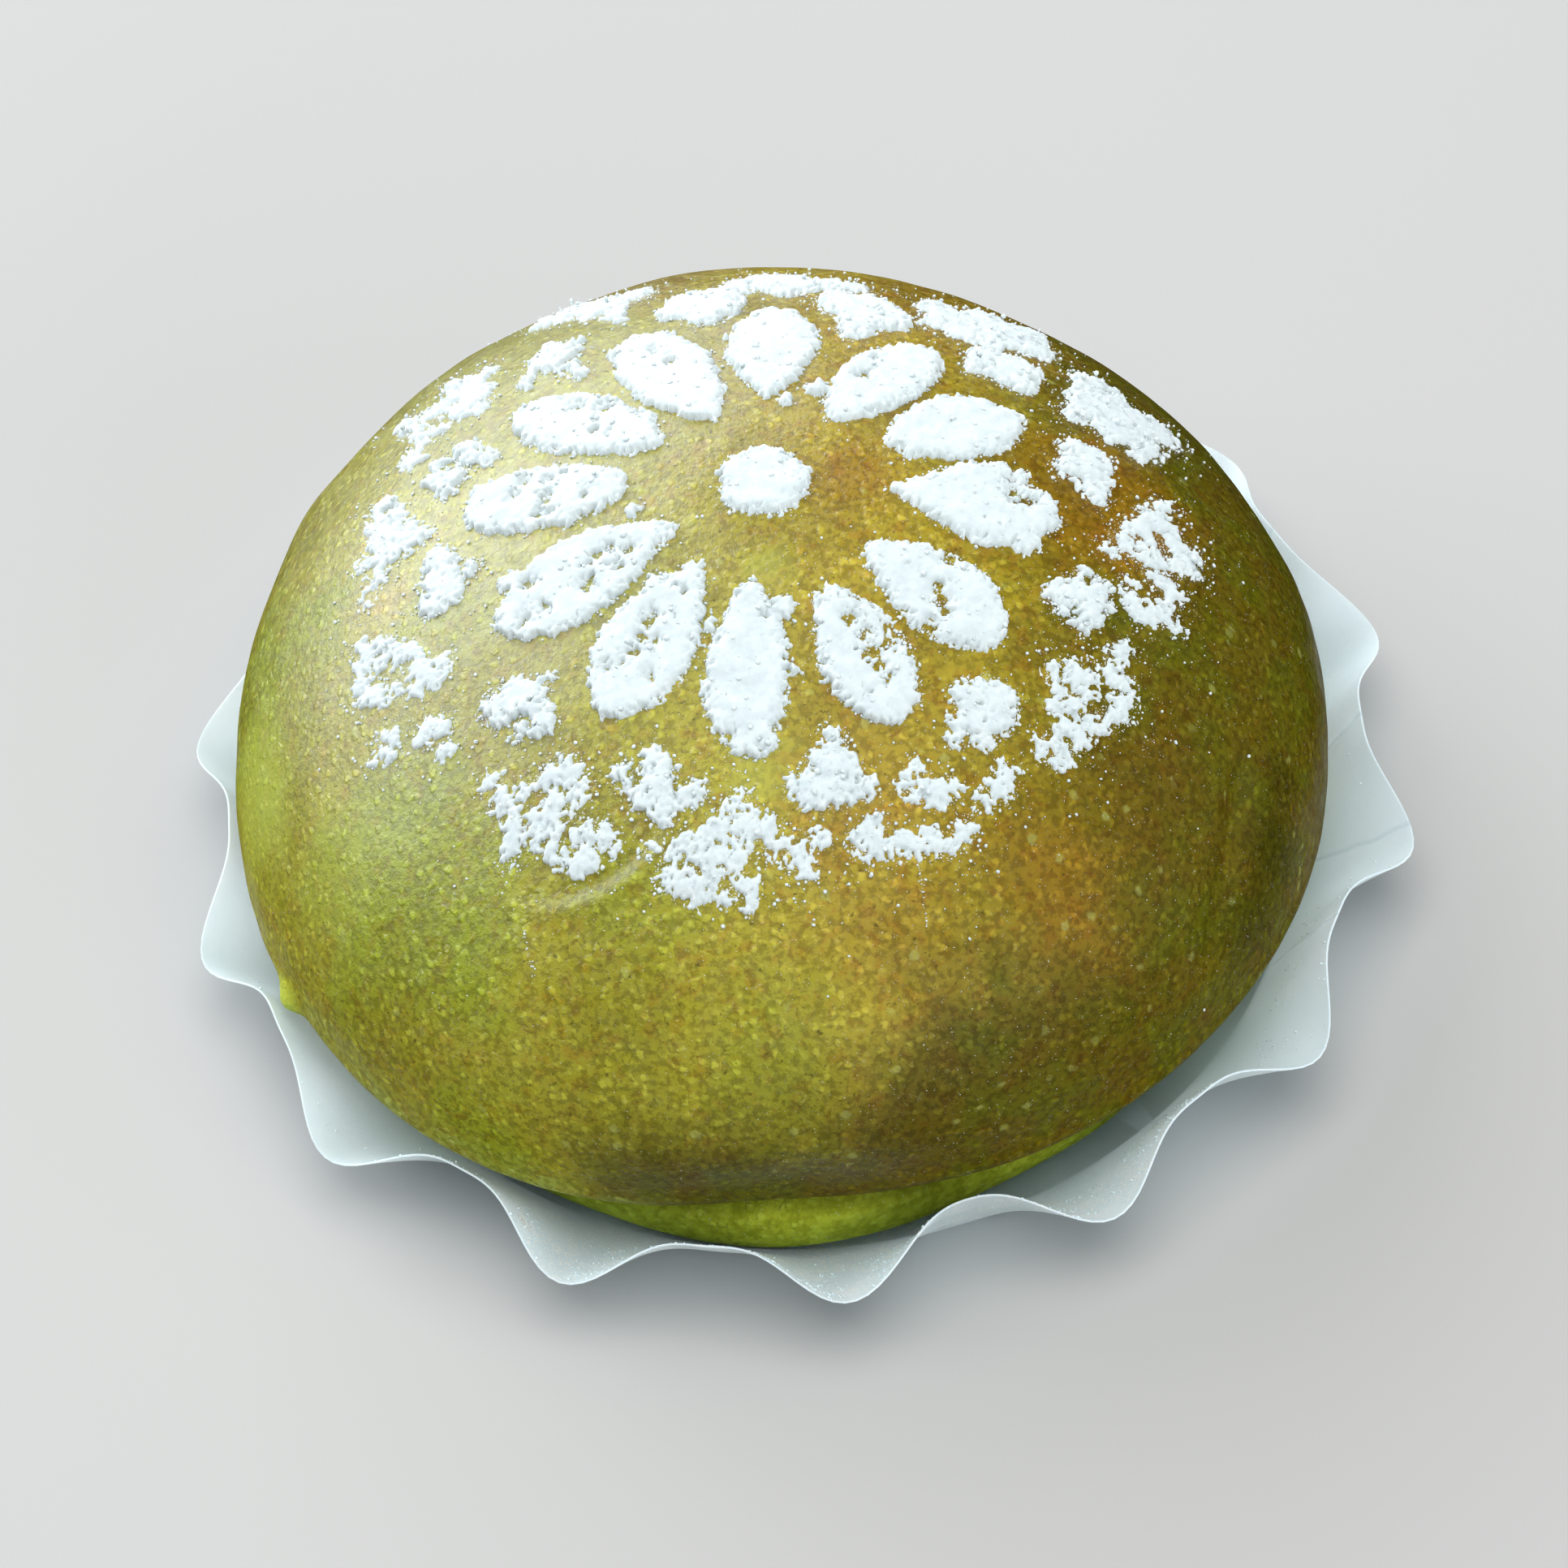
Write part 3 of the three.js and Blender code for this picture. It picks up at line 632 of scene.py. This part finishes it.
def wallPoint(angle, share):
    reach = lobeReach(angle)
    wear = lobeWear(angle)
    rimRadius = paperCase["valleyRadius"] + (paperCase["tipRadius"] - paperCase["valleyRadius"]) * reach
    rimRadius = rimRadius + 0.5 * wear * reach
    for middle, change, spread in paperCase["strays"]:
        rimRadius = rimRadius + change * bell(angleGap(angle, math.radians(middle)), math.radians(spread))
    rimHeight = paperCase["valleyHeight"] + (paperCase["tipHeight"] - paperCase["valleyHeight"]) * reach
    rimHeight = rimHeight - 0.5 * wear
    radius = paperCase["baseRadius"] + (rimRadius - paperCase["baseRadius"]) * share ** 0.85
    for middle, depth in paperCase["folds"]:
        gap = np.abs(angleGap(angle, math.radians(middle))) * radius
        fold = depth * np.exp(-gap / 0.7) * smoothStep(0, 0.4, share)
        radius = radius - fold * (1 - smoothStep(0.75, 1, share))
    return np.column_stack([radius * np.cos(angle), radius * np.sin(angle), rimHeight * share])


def makePaperCase():
    columns = paperCase["lobes"] * paperCase["columns"]
    selectNothing()
    bpy.ops.mesh.primitive_circle_add(vertices=columns, radius=paperCase["baseRadius"] * mm, fill_type="NGON")
    case = bpy.context.active_object
    case.name = "paper_sheet"
    bpy.ops.object.mode_set(mode="EDIT")
    bpy.ops.mesh.select_all(action="SELECT")
    bpy.ops.mesh.inset(thickness=4 * mm)
    bpy.ops.mesh.poke()
    # raise the wall row by row from the outer edge
    bpy.ops.object.mode_set(mode="OBJECT")
    for edge in case.data.edges:
        ends = [case.data.vertices[v].co.xy.length for v in edge.vertices]
        edge.select = min(ends) > (paperCase["baseRadius"] - 0.5) * mm
    for face in case.data.polygons:
        face.select = False
    for vertex in case.data.vertices:
        vertex.select = vertex.co.xy.length > (paperCase["baseRadius"] - 0.5) * mm
    bpy.ops.object.mode_set(mode="EDIT")
    bpy.ops.mesh.select_mode(type="EDGE")
    for row in range(paperCase["rows"]):
        bpy.ops.mesh.extrude_edges_move(TRANSFORM_OT_translate={"value": (0, 0, mm)})
    bpy.ops.mesh.select_all(action="SELECT")
    bpy.ops.mesh.normals_make_consistent(inside=False)
    bpy.ops.object.mode_set(mode="OBJECT")
    points = meshPoints(case) / mm
    row = np.round(points[:, 2])
    wall = np.hypot(points[:, 0], points[:, 1]) > paperCase["baseRadius"] - 0.5
    angle = np.arctan2(points[:, 1], points[:, 0])
    lobeTurn = (angle - math.radians(paperCase["firstLobe"])) * paperCase["lobes"]
    angle = angle + 0.5 * np.sin(lobeTurn) / paperCase["lobes"]
    points[wall] = wallPoint(angle[wall], row[wall] / paperCase["rows"])
    points[~wall, 2] = 0
    placePoints(case, points * mm)
    solid = case.modifiers.new("thickness", "SOLIDIFY")
    solid.thickness = paperCase["thickness"] * mm
    solid.offset = -1 if case.data.polygons[0].normal.z < 0 else 1
    bpy.ops.object.modifier_apply(modifier=solid.name)
    bpy.ops.object.shade_smooth()
    bpy.ops.object.shade_smooth_by_angle(angle=math.radians(50))
    return case


# Grains of sugar that rolled down onto the paper
def makePaperGrains():
    random = np.random.default_rng(grains["seed"] + 1)
    count = grains["onPaper"]
    angle = math.radians(-86) + random.normal(0, 0.5, count * 4)
    share = random.uniform(0.25, 0.99, count * 4)
    # the sugar gathers in drifts
    drift = lumpField(flat(angle * 57, share * 12), 2.6, 71)
    gathered = np.nonzero(random.random(count * 4) < smoothStep(-0.45, 0.5, drift))[0][:count]
    angle, share = angle[gathered], share[gathered]
    count = len(gathered)
    step = 0.01
    spot = wallPoint(angle, share)
    around = wallPoint(angle + step, share) - wallPoint(angle - step, share)
    up = wallPoint(angle, share + step) - wallPoint(angle, share - step)
    inward = unit(np.cross(up, around))
    size = 0.035 + 0.12 * random.random(count) ** 5
    places = spot + inward * (paperCase["thickness"] + size * 0.4)[:, None]
    return makeGrains("sugar_on_paper", places - bunShift, size, random)


# Small tools for materials

def linear(code):
    values = [int(code[i:i + 2], 16) / 255 for i in (1, 3, 5)]
    return tuple(v / 12.92 if v <= 0.04045 else ((v + 0.055) / 1.055) ** 2.4 for v in values) + (1,)


class Graph:
    def __init__(self, tree):
        self.tree = tree

    def add(self, kind, **settings):
        node = self.tree.nodes.new(kind)
        for key, value in settings.items():
            setattr(node, key, value)
        return node

    def join(self, source, target):
        self.tree.links.new(source, target)

    # Each socket takes a link where it is given one, and a plain value otherwise
    def feed(self, sockets, values):
        for name, value in values.items():
            if isinstance(value, bpy.types.NodeSocket):
                self.join(value, sockets[name])
            else:
                sockets[name].default_value = value

    def maths(self, operation, first, second=0.0):
        node = self.add("ShaderNodeMath", operation=operation)
        self.feed(node.inputs, {0: first, 1: second})
        return node.outputs[0]

    def plus(self, first, second):
        return self.maths("ADD", first, second)

    def times(self, first, second):
        return self.maths("MULTIPLY", first, second)

    # A random value moved to run from minus to plus half the given reach
    def drift(self, value, reach):
        return self.times(self.maths("SUBTRACT", value, 0.5), reach)

    def vector(self, operation, *values):
        node = self.add("ShaderNodeVectorMath", operation=operation)
        self.feed(node.inputs, dict(enumerate(values)))
        return node.outputs["Value" if operation in ("DISTANCE", "DOT_PRODUCT") else "Vector"]

    def axes(self, place):
        node = self.add("ShaderNodeSeparateXYZ")
        self.join(place, node.inputs[0])
        return [node.outputs[name] for name in "XYZ"]

    def mix(self, share, first, second, blend="MIX"):
        node = self.add("ShaderNodeMix", data_type="RGBA", blend_type=blend)
        self.feed(node.inputs, {0: share, 6: first, 7: second})
        return node.outputs[2]

    # Multiplies a colour by factors for red, green and blue where the mask is high
    def tint(self, mask, colour, factors, strength):
        return self.mix(self.times(mask, strength), colour, tuple(factors) + (1,), "MULTIPLY")

    def ramp(self, value, low, high, outLow=0.0, outHigh=1.0):
        node = self.add("ShaderNodeMapRange", interpolation_type="SMOOTHSTEP")
        self.feed(node.inputs, {"Value": value, "From Min": low, "From Max": high,
                                "To Min": outLow, "To Max": outHigh})
        return node.outputs["Result"]

    def noise(self, place, size, detail=2.0, roughness=0.5, output="Fac"):
        node = self.add("ShaderNodeTexNoise")
        self.feed(node.inputs, {"Vector": place, "Scale": 1 / (size * mm), "Detail": detail,
                                "Roughness": roughness})
        return node.outputs[output]

    # Cells of a size in mm: how far a place is from its cell's middle, and the cell's own random value
    def cells(self, place, size):
        node = self.add("ShaderNodeTexVoronoi")
        self.feed(node.inputs, {"Vector": place, "Scale": 1 / (size * mm)})
        own = self.add("ShaderNodeSeparateColor")
        self.join(node.outputs["Color"], own.inputs[0])
        return node.outputs["Distance"], own.outputs[0]

    def bump(self, height, depth, strength=1.0):
        node = self.add("ShaderNodeBump")
        self.feed(node.inputs, {"Height": height, "Distance": depth * mm, "Strength": strength})
        return node.outputs["Normal"]

    def place(self):
        return self.add("ShaderNodeTexCoord").outputs["Object"]


def newMaterial(name):
    material = bpy.data.materials.new(name)
    material.use_nodes = True
    graph = Graph(material.node_tree)
    return material, graph, material.node_tree.nodes["Principled BSDF"].inputs


def newGroup(name, inputs, outputs):
    tree = bpy.data.node_groups.new(name, "ShaderNodeTree")
    for label, kind in inputs.items():
        tree.interface.new_socket(label, in_out="INPUT", socket_type=kind)
    for label, kind in outputs.items():
        tree.interface.new_socket(label, in_out="OUTPUT", socket_type=kind)
    graph = Graph(tree)
    return tree, graph, graph.add("NodeGroupInput").outputs, graph.add("NodeGroupOutput").inputs


# A soft patch round a place; the wander shifts its edge
def makePatchGroup():
    tree, graph, given, result = newGroup(
        "softPatch",
        {"Centre": "NodeSocketVector", "Radius": "NodeSocketFloat", "Wander": "NodeSocketFloat"},
        {"Mask": "NodeSocketFloat"})
    gap = graph.vector("DISTANCE", graph.place(), given["Centre"])
    share = graph.plus(graph.maths("DIVIDE", gap, given["Radius"]), given["Wander"])
    graph.join(graph.ramp(share, 1.1, 0.15), result["Mask"])
    return tree


# Fine grain for a bump: small lumps of a given size in mm
def makeGrainGroup():
    tree, graph, given, result = newGroup(
        "fineGrain",
        {"Size": "NodeSocketFloat", "Harshness": "NodeSocketFloat"},
        {"Height": "NodeSocketFloat"})
    scale = graph.maths("DIVIDE", 1 / mm, given["Size"])
    noise = graph.add("ShaderNodeTexNoise")
    graph.feed(noise.inputs, {"Vector": graph.place(), "Scale": scale, "Detail": 3,
                              "Roughness": given["Harshness"]})
    graph.join(noise.outputs["Fac"], result["Height"])
    return tree


groups = {"patch": makePatchGroup(), "grain": makeGrainGroup()}


def useGroup(graph, name, **values):
    node = graph.add("ShaderNodeGroup", node_tree=groups[name])
    graph.feed(node.inputs, values)
    return node.outputs[0]


# One mask for several patches, each given as x, y, z, radius and strength
def patches(graph, spots, wander=0.0):
    total = 0.0
    for x, y, z, radius, strength in spots:
        centre = ((x + bunPlace["x"]) * mm, (y + bunPlace["y"]) * mm, z * mm)
        mask = useGroup(graph, "patch", Centre=centre, Radius=radius * mm, Wander=wander)
        total = graph.maths("MAXIMUM", total, graph.times(mask, strength))
    return total


crustLook = {
    "khaki": "#a28e1a",
    "khakiDeep": "#8e7a0e",
    "green": "#889112",
    "shadowSide": "#564a02",  # painted shade on the right side and the lower front, a darker, browner olive
    "shadowGreen": "#525102",
    "toast": "#8a6407",
    "scorch": "#5e4902",
    "blush": "#b08430",
    "pale": "#bcc64c",
    "skirt": "#959d3c",
    # painted shade on the facet beside the dent in the right flank
    "dent": "#3d3a02",
    "paintedSheen": "#cbd3ac",  # painted sheen: a pale veil on the side by the window, in place of its reflection
    "paintedSheenShare": 0.1,
    "paleBlister": "#b2b85e",
    "pore": "#3a3003",
    "foot": "#9ca22b",
    "footDeep": "#81861c",
    # painted shade in the crease between the dome and the foot
    "crease": "#23280a",
    # factors for red, green and blue
    "veinTint": (0.96, 0.72, 0.42),
    "gapTint": (0.62, 0.6, 0.4),
    "blisterTint": (1.55, 1.62, 3.2),
    # sizes in mm
    "mottleSize": 16,
    "veinSize": 1.9,
    "gapSize": 0.75,
    "blisterSize": 0.95,
    "spotSize": 2.4,
    "poreSize": 0.6,
    "unevenness": 0.8,
    "footTop": 10.6,
    "reliefDepth": 0.1,
    "coat": 0.45,
    "coatRoughness": 0.32,
    # places in mm from the bun's middle: x, y, z, radius, strength
    "greenPlaces": [(-46, 4, 26, 24, 0.9), (-34, -28, 34, 24, 0.95), (-15, -36, 40, 13, 0.7),
                    (-30, -4, 42, 15, 0.6), (-30, -44, 18, 16, 0.9), (-4, -48, 30, 15, 0.6),
                    (-30, 30, 36, 14, 0.5), (44, -8, 26, 12, 0.5), (-16, -18, 46, 15, 0.5)],
    "toastPlaces": [(32, 4, 43, 13, 0.9), (20, 30, 38, 16, 0.5), (-8, 40, 34, 14, 0.5),
                    (27, -35, 36, 11, 0.6), (10, 3, 51, 7, 0.65), (8, -31, 44, 9, 0.4),
                    (9, -40, 38, 8, 0.35)],
    "scorchPlaces": [(30, 5, 43, 7, 0.8), (33, -26, 37, 11, 0.6), (27, 1, 45, 4, 0.5)],
    "blushPlaces": [(-36, 1, 41, 4.5, 0.35), (-24, 20, 42, 4, 0.2)],
    "shadePlaces": [(40, -33, 25, 5, 0.45), (32, -34, 32, 6.5, 0.6), (10, -43, 36, 5, 0.3)],
    # where the painted shade beside the dent lies
    "dentShadePlaces": [(48.6, -19.5, 27, 5, 0.7), (47.3, -25.2, 24, 7, 0.9), (44, -31, 21, 6.5, 0.7)],
    # the pale underside that shows above the foot
    "skirtPlaces": [(-46, -28, 13, 6, 0.5), (-40, -37, 12.5, 7, 0.75), (-33, -43, 12.5, 7, 0.8),
                    (-26, -47, 12, 6.5, 0.8), (-18, -50, 11, 5, 0.55)],
    # pale places: the pale torn foot at the left, pale bits low at the front, pale streaks on top, and
    # painted sheen along the left flank
    "paleAndSheenPlaces": [(-49.6, -23.2, 12.2, 3.6, 1.0), (-50, -8, 25, 11, 0.5), (-44, -22, 30, 11, 0.2),
                   (-2, -27, 46.7, 5, 0.22), (0.5, -6.8, 51.5, 4, 0.25), (9.6, -51.4, 9, 1.9, 0.9),
                   (14.6, -50.4, 10, 1.2, 0.8)],
}


# The broad baked colours, khaki and greener at the left, with painted shade, darker and browner, at the right
# and low in front
def bakedColourAndPaintedShade(graph, look, place, wander):
    x, y, height = graph.axes(place)
    mottle = graph.ramp(graph.noise(place, crustLook["mottleSize"], 3), 0.38, 0.62)
    colour = graph.mix(mottle, look["khaki"], look["khakiDeep"])
    leftward = graph.ramp(x, 10 * mm, -16 * mm, 0, 0.45)
    green = patches(graph, crustLook["greenPlaces"], wander)
    colour = graph.mix(graph.maths("MAXIMUM", green, leftward), colour, look["green"])
    # painted shade: darker towards the right side and low in front, with a wandering edge
    wide = graph.drift(graph.noise(place, 4.5, 4, 0.65), 22 * mm)
    aside = graph.ramp(graph.plus(x, wide), 9 * mm, 35 * mm, 0, 0.95)
    drop = graph.ramp(x, -5 * mm, 18 * mm, 0, 11 * mm)
    low = graph.maths("SUBTRACT", graph.plus(height, graph.times(wide, 0.5)), drop)
    low = graph.ramp(low, 30 * mm, 18 * mm, 0, 0.95)
    low = graph.times(low, graph.ramp(x, -28 * mm, -19 * mm))
    low = graph.times(low, graph.ramp(y, -8 * mm, -30 * mm))
    cloud = graph.ramp(graph.noise(place, 6, 3), 0.42, 0.62)
    paintedShade = graph.mix(cloud, look["shadowSide"], look["shadowGreen"])
    colour = graph.mix(graph.maths("MAXIMUM", aside, low), colour, paintedShade)
    for name in ("toast", "scorch", "blush"):
        colour = graph.mix(patches(graph, crustLook[name + "Places"], wander), colour, look[name])
    colour = graph.mix(patches(graph, crustLook["shadePlaces"], wander), colour, look["shadowGreen"])
    # painted shade beside the dent
    colour = graph.mix(patches(graph, crustLook["dentShadePlaces"]), colour, look["dent"])
    return graph.mix(patches(graph, crustLook["skirtPlaces"], wander), colour, look["skirt"])


def makeCrustMaterial():
    look = {key: linear(value) for key, value in crustLook.items() if isinstance(value, str)}
    material, graph, shader = newMaterial("crust")
    place = graph.place()
    x, y, height = graph.axes(place)
    wander = graph.drift(graph.noise(place, 9, 3), 1.1)
    colour = bakedColourAndPaintedShade(graph, look, place, wander)
    # fine grain of the skin: brown veins, dark gaps and dense little blisters of uneven shape
    reach = (crustLook["unevenness"] * mm,) * 3
    uneven = graph.vector("MULTIPLY_ADD", graph.noise(place, 0.9, 3, output="Color"), reach, place)
    vein = graph.ramp(graph.noise(uneven, crustLook["veinSize"], 4, 0.7), 0.5, 0.64)
    colour = graph.tint(vein, colour, crustLook["veinTint"], 0.75)
    gap = graph.ramp(graph.noise(uneven, crustLook["gapSize"], 3, 0.55), 0.56, 0.4)
    colour = graph.tint(gap, colour, crustLook["gapTint"], 0.85)
    distance, own = graph.cells(uneven, crustLook["blisterSize"])
    blister = graph.times(graph.ramp(distance, 0.56, 0.2), graph.ramp(own, 0.15, 0.9))
    colour = graph.tint(blister, colour, crustLook["blisterTint"], 0.85)
    distance, own = graph.cells(uneven, crustLook["spotSize"])
    spot = graph.times(graph.ramp(distance, 0.26, 0.12), graph.ramp(own, 0.62, 0.85))
    colour = graph.mix(graph.times(spot, 0.3), colour, look["paleBlister"])
    # painted sheen on the upper left, towards the window
    paintedSheen = graph.times(graph.ramp(x, 4 * mm, -26 * mm, 0, crustLook["paintedSheenShare"]),
                       graph.ramp(height, 22 * mm, 38 * mm))
    colour = graph.mix(graph.times(paintedSheen, graph.ramp(y, -26 * mm, -4 * mm)), colour, look["paintedSheen"])
    pore = graph.ramp(graph.noise(place, crustLook["poreSize"], 2, 0.6), 0.35, 0.27)
    colour = graph.mix(graph.times(pore, 0.6), colour, look["pore"])
    # the foot below the crease never browned
    footTop = crustLook["footTop"]
    foot = graph.ramp(height, footTop * mm, (footTop - 0.8) * mm)
    footMottle = graph.ramp(graph.noise(uneven, 1.3, 4, 0.65), 0.4, 0.62)
    footColour = graph.mix(footMottle, look["foot"], look["footDeep"])
    footColour = graph.tint(blister, footColour, crustLook["blisterTint"], 0.4)
    colour = graph.mix(foot, colour, footColour)
    # painted shade: a thin dark line in the crease just above the foot
    crease = graph.times(graph.ramp(height, (footTop + 1.3) * mm, (footTop + 0.3) * mm),
                         graph.ramp(height, (footTop - 0.7) * mm, (footTop - 0.2) * mm))
    colour = graph.mix(graph.times(crease, 0.8), colour, look["crease"])
    # pale places, partly painted sheen along the left flank
    colour = graph.mix(patches(graph, crustLook["paleAndSheenPlaces"], wander), colour, look["pale"])
    # sugar dust near the sugar, and rare white specks all over as painted glints
    dust = graph.add("ShaderNodeAttribute", attribute_name="dust").outputs["Fac"]
    level = graph.plus(graph.noise(place, 0.17, 1), graph.times(dust, 0.16))
    level = graph.plus(level, graph.times(graph.noise(place, 1.6), 0.12))
    dustAndGlints = graph.ramp(level, 0.8, 0.84)
    rough = graph.ramp(graph.noise(place, 2.2, 3), 0.3, 0.7, 0.34, 0.5)
    rough = graph.plus(rough, graph.times(graph.maths("MAXIMUM", foot, dustAndGlints), 0.3))
    # the glaze thins out towards the foot and the right side
    glaze = graph.times(graph.ramp(height, 14 * mm, 32 * mm, 0.04, 1.0),
                        graph.ramp(x, -8 * mm, 32 * mm, 1.0, 0.3))
    grain = graph.times(useGroup(graph, "grain", Size=0.45, Harshness=0.6), 1.3)
    relief = graph.plus(graph.plus(graph.times(blister, 0.8), grain), graph.times(spot, 0.6))
    graph.feed(shader, {
        "Base Color": graph.mix(dustAndGlints, colour, linear(sugarLook["white"])),
        "Roughness": rough,
        "Specular IOR Level": glaze,
        "Coat Weight": graph.times(glaze, crustLook["coat"]),
        "Coat Roughness": crustLook["coatRoughness"],
        "Normal": graph.bump(relief, crustLook["reliefDepth"]),
    })
    return material


# The same sugar in two copies, as painted light and shade: darker on the crust, where the strongest light
# falls, and lighter on the paper
sugarLook = {
    "white": "#cbd1d0",
    "shade": "#c2caca",
    "onPaper": "#e4f5f8",
    "scatter": 0.4,  # how far light wanders through the powder, in mm
    "grain": 0.3,
}


def makeSugarMaterial(name, white, shade):
    material, graph, shader = newMaterial(name)
    cloud = graph.ramp(graph.noise(graph.place(), 1.2, 3), 0.35, 0.65)
    grain = useGroup(graph, "grain", Size=sugarLook["grain"], Harshness=0.75)
    graph.feed(shader, {
        "Base Color": graph.mix(cloud, linear(white), linear(shade)),
        "Roughness": 0.92,
        "Specular IOR Level": 0.2,
        "Subsurface Weight": 0.5,
        "Subsurface Radius": (sugarLook["scatter"] * mm,) * 3,
        "Subsurface Scale": 1.0,
        "Normal": graph.bump(grain, 0.06, 0.8),
    })
    return material


paperLook = {
    "face": "#dcf5ff",
    "shade": "#d3f0fc",
    "frost": "#ecfcff",
    "stain": "#dd9440",
    "stainPlaces": [(-28.6, -48.6, 7.6, 1.5, 0.85)],
    # painted shade along the pressed fold lines, as factors for red, green and blue
    "fold": (0.62, 0.68, 0.7),
    # pressed fold lines in the valleys: angle in degrees; their width and where they start in mm
    "foldLines": [25.9, 0.15, -25.6, -51.3, -10.5],
    "foldWidth": 0.4,
    "foldStart": 49,
    "scatter": 2.0,  # the thin paper lets light through
}


# A fold line is where the place lies close to a plane through the middle, on its own side
def foldLine(graph, place, line):
    turn = math.radians(line)
    across = graph.vector("DOT_PRODUCT", place, (-math.sin(turn), math.cos(turn), 0))
    along = graph.vector("DOT_PRODUCT", place, (math.cos(turn), math.sin(turn), 0))
    bent = graph.plus(across, graph.drift(graph.noise(place, 6), 1.6 * mm))
    close = graph.ramp(graph.maths("ABSOLUTE", bent), paperLook["foldWidth"] * mm, 0.05 * mm)
    start = paperLook["foldStart"]
    return graph.times(close, graph.ramp(along, start * mm, (start + 2) * mm))


def makePaperMaterial():
    material, graph, shader = newMaterial("bakingPaper")
    place = graph.place()
    cloud = graph.ramp(graph.noise(place, 7, 4), 0.3, 0.7)
    colour = graph.mix(cloud, linear(paperLook["face"]), linear(paperLook["shade"]))
    colour = graph.mix(patches(graph, paperLook["stainPlaces"]), colour, linear(paperLook["stain"]))
    # painted shade along each fold line
    for line in paperLook["foldLines"]:
        colour = graph.tint(foldLine(graph, place, line), colour, paperLook["fold"], 0.55)
    # fine sugar frost on the front lobes
    frost = graph.plus(graph.noise(place, 0.3, 2, 0.6), graph.times(graph.noise(place, 3, 3), 0.7))
    frost = graph.times(graph.ramp(frost, 0.86, 0.96), graph.ramp(graph.axes(place)[1], -40 * mm, -50 * mm))
    grain = graph.plus(useGroup(graph, "grain", Size=0.6, Harshness=0.6), graph.times(frost, 0.8))
    graph.feed(shader, {
        "Base Color": graph.mix(frost, colour, linear(paperLook["frost"])),
        "Roughness": graph.ramp(graph.noise(place, 3, 3), 0.3, 0.7, 0.45, 0.6),
        "Subsurface Weight": 0.75,
        "Subsurface Radius": (paperLook["scatter"] * mm,) * 3,
        "Subsurface Scale": 1.0,
        "Normal": graph.bump(grain, 0.05, 0.5),
    })
    return material


crust = makeCrust()
crust.data.materials.append(makeCrustMaterial())
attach(crust, "root")
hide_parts("bun")
print("crust done")

# the sugar on the crust painted darker than the same sugar on the paper
crustSugar = makeSugarMaterial("icingSugar", sugarLook["white"], sugarLook["shade"])
paperSugar = makeSugarMaterial("sugarOnPaper", sugarLook["onPaper"], sugarLook["onPaper"])
sugarOnCrust = [makeSugar(kind) for kind in sugarBody] + [makeCrustGrains()]
for piece in sugarOnCrust + [makePaperGrains()]:
    piece.data.materials.append(crustSugar if piece in sugarOnCrust else paperSugar)
    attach(piece, "root")
for piece in sugarOnCrust:
    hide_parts("bun")
print("sugar done")

case = makePaperCase()
case.data.materials.append(makePaperMaterial())
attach(case, "root")
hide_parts("paper_case")
print("paper case done")


# The studio
studio = {
    "floor": "#adaaa6",
    "floorSize": 4.0,
    "world": "#e4ecf4",
    "worldStrength": 0.46,
    "aim": (0, 0, 0.03),
    # place, width, height, radiance, colour and whether it shows in the crust's shine
    "lights": [((-0.5, 1.3, 0.5), 1.4, 0.9, 3.5, "#f0f7ff", True),
               ((-0.95, 0.6, 0.74), 1.4, 1.2, 2.8, "#f0f7ff", True),
               ((0.05, -0.05, 1.3), 1.3, 1.3, 3.3, "#fbfeff", False),
               ((1.0, -1.0, 0.35), 2.2, 0.9, 2.7, "#f6fbff", False)],
}


def makeFloor():
    selectNothing()
    bpy.ops.mesh.primitive_plane_add(size=studio["floorSize"])
    floor = bpy.context.active_object
    floor.name = "floor"
    material, graph, shader = newMaterial("floor")
    graph.feed(shader, {"Base Color": linear(studio["floor"]), "Roughness": 0.7})
    floor.data.materials.append(material)
    floor.visible_glossy = False


def makeLights():
    world = bpy.data.worlds.new("studio")
    bpy.context.scene.world = world
    world.use_nodes = True
    back = world.node_tree.nodes["Background"]
    back.inputs["Color"].default_value = linear(studio["world"])
    back.inputs["Strength"].default_value = studio["worldStrength"]
    world.cycles_visibility.glossy = False
    for number, (place, width, height, radiance, colour, shines) in enumerate(studio["lights"]):
        data = bpy.data.lights.new(f"soft{number}", "AREA")
        data.shape = "RECTANGLE"
        data.size, data.size_y = width, height
        data.energy = radiance * math.pi * width * height
        data.color = linear(colour)[:3]
        light = newObject(f"soft{number}", data)
        light.location = place
        light.rotation_euler = (Vector(studio["aim"]) - Vector(place)).to_track_quat("-Z", "Y").to_euler()
        light.visible_glossy = shines


# The camera of the photograph, 0.6 m from the bun, in mm and radians
view = {
    "place": (0.0, -363.194, 478.955),
    "down": 0.9125,
    "aside": 0.0011,
    "roll": -0.0916,
    "lens": 136.945,
    "sensor": 36,
}


def makeCamera():
    data = bpy.data.cameras.new("camera")
    data.sensor_width = view["sensor"]
    data.lens = view["lens"]
    data.clip_start = 0.02
    camera = newObject("camera", data)
    down, aside, roll = view["down"], view["aside"], view["roll"]
    forward = Vector((math.sin(aside) * math.cos(down), math.cos(aside) * math.cos(down), -math.sin(down)))
    right = forward.cross(Vector((0, 0, 1))).normalized()
    up = right.cross(forward)
    tiltedRight = right * math.cos(roll) + up * math.sin(roll)
    tiltedUp = up * math.cos(roll) - right * math.sin(roll)
    turn = Matrix((tiltedRight, tiltedUp, -forward)).transposed().to_4x4()
    place = Vector(view["place"]) + Vector(bunShift)
    camera.matrix_world = Matrix.Translation(place * mm) @ turn
    bpy.context.scene.camera = camera


makeFloor()
makeLights()
makeCamera()
bpy.context.scene.view_settings.view_transform = "Standard"
print("studio done")
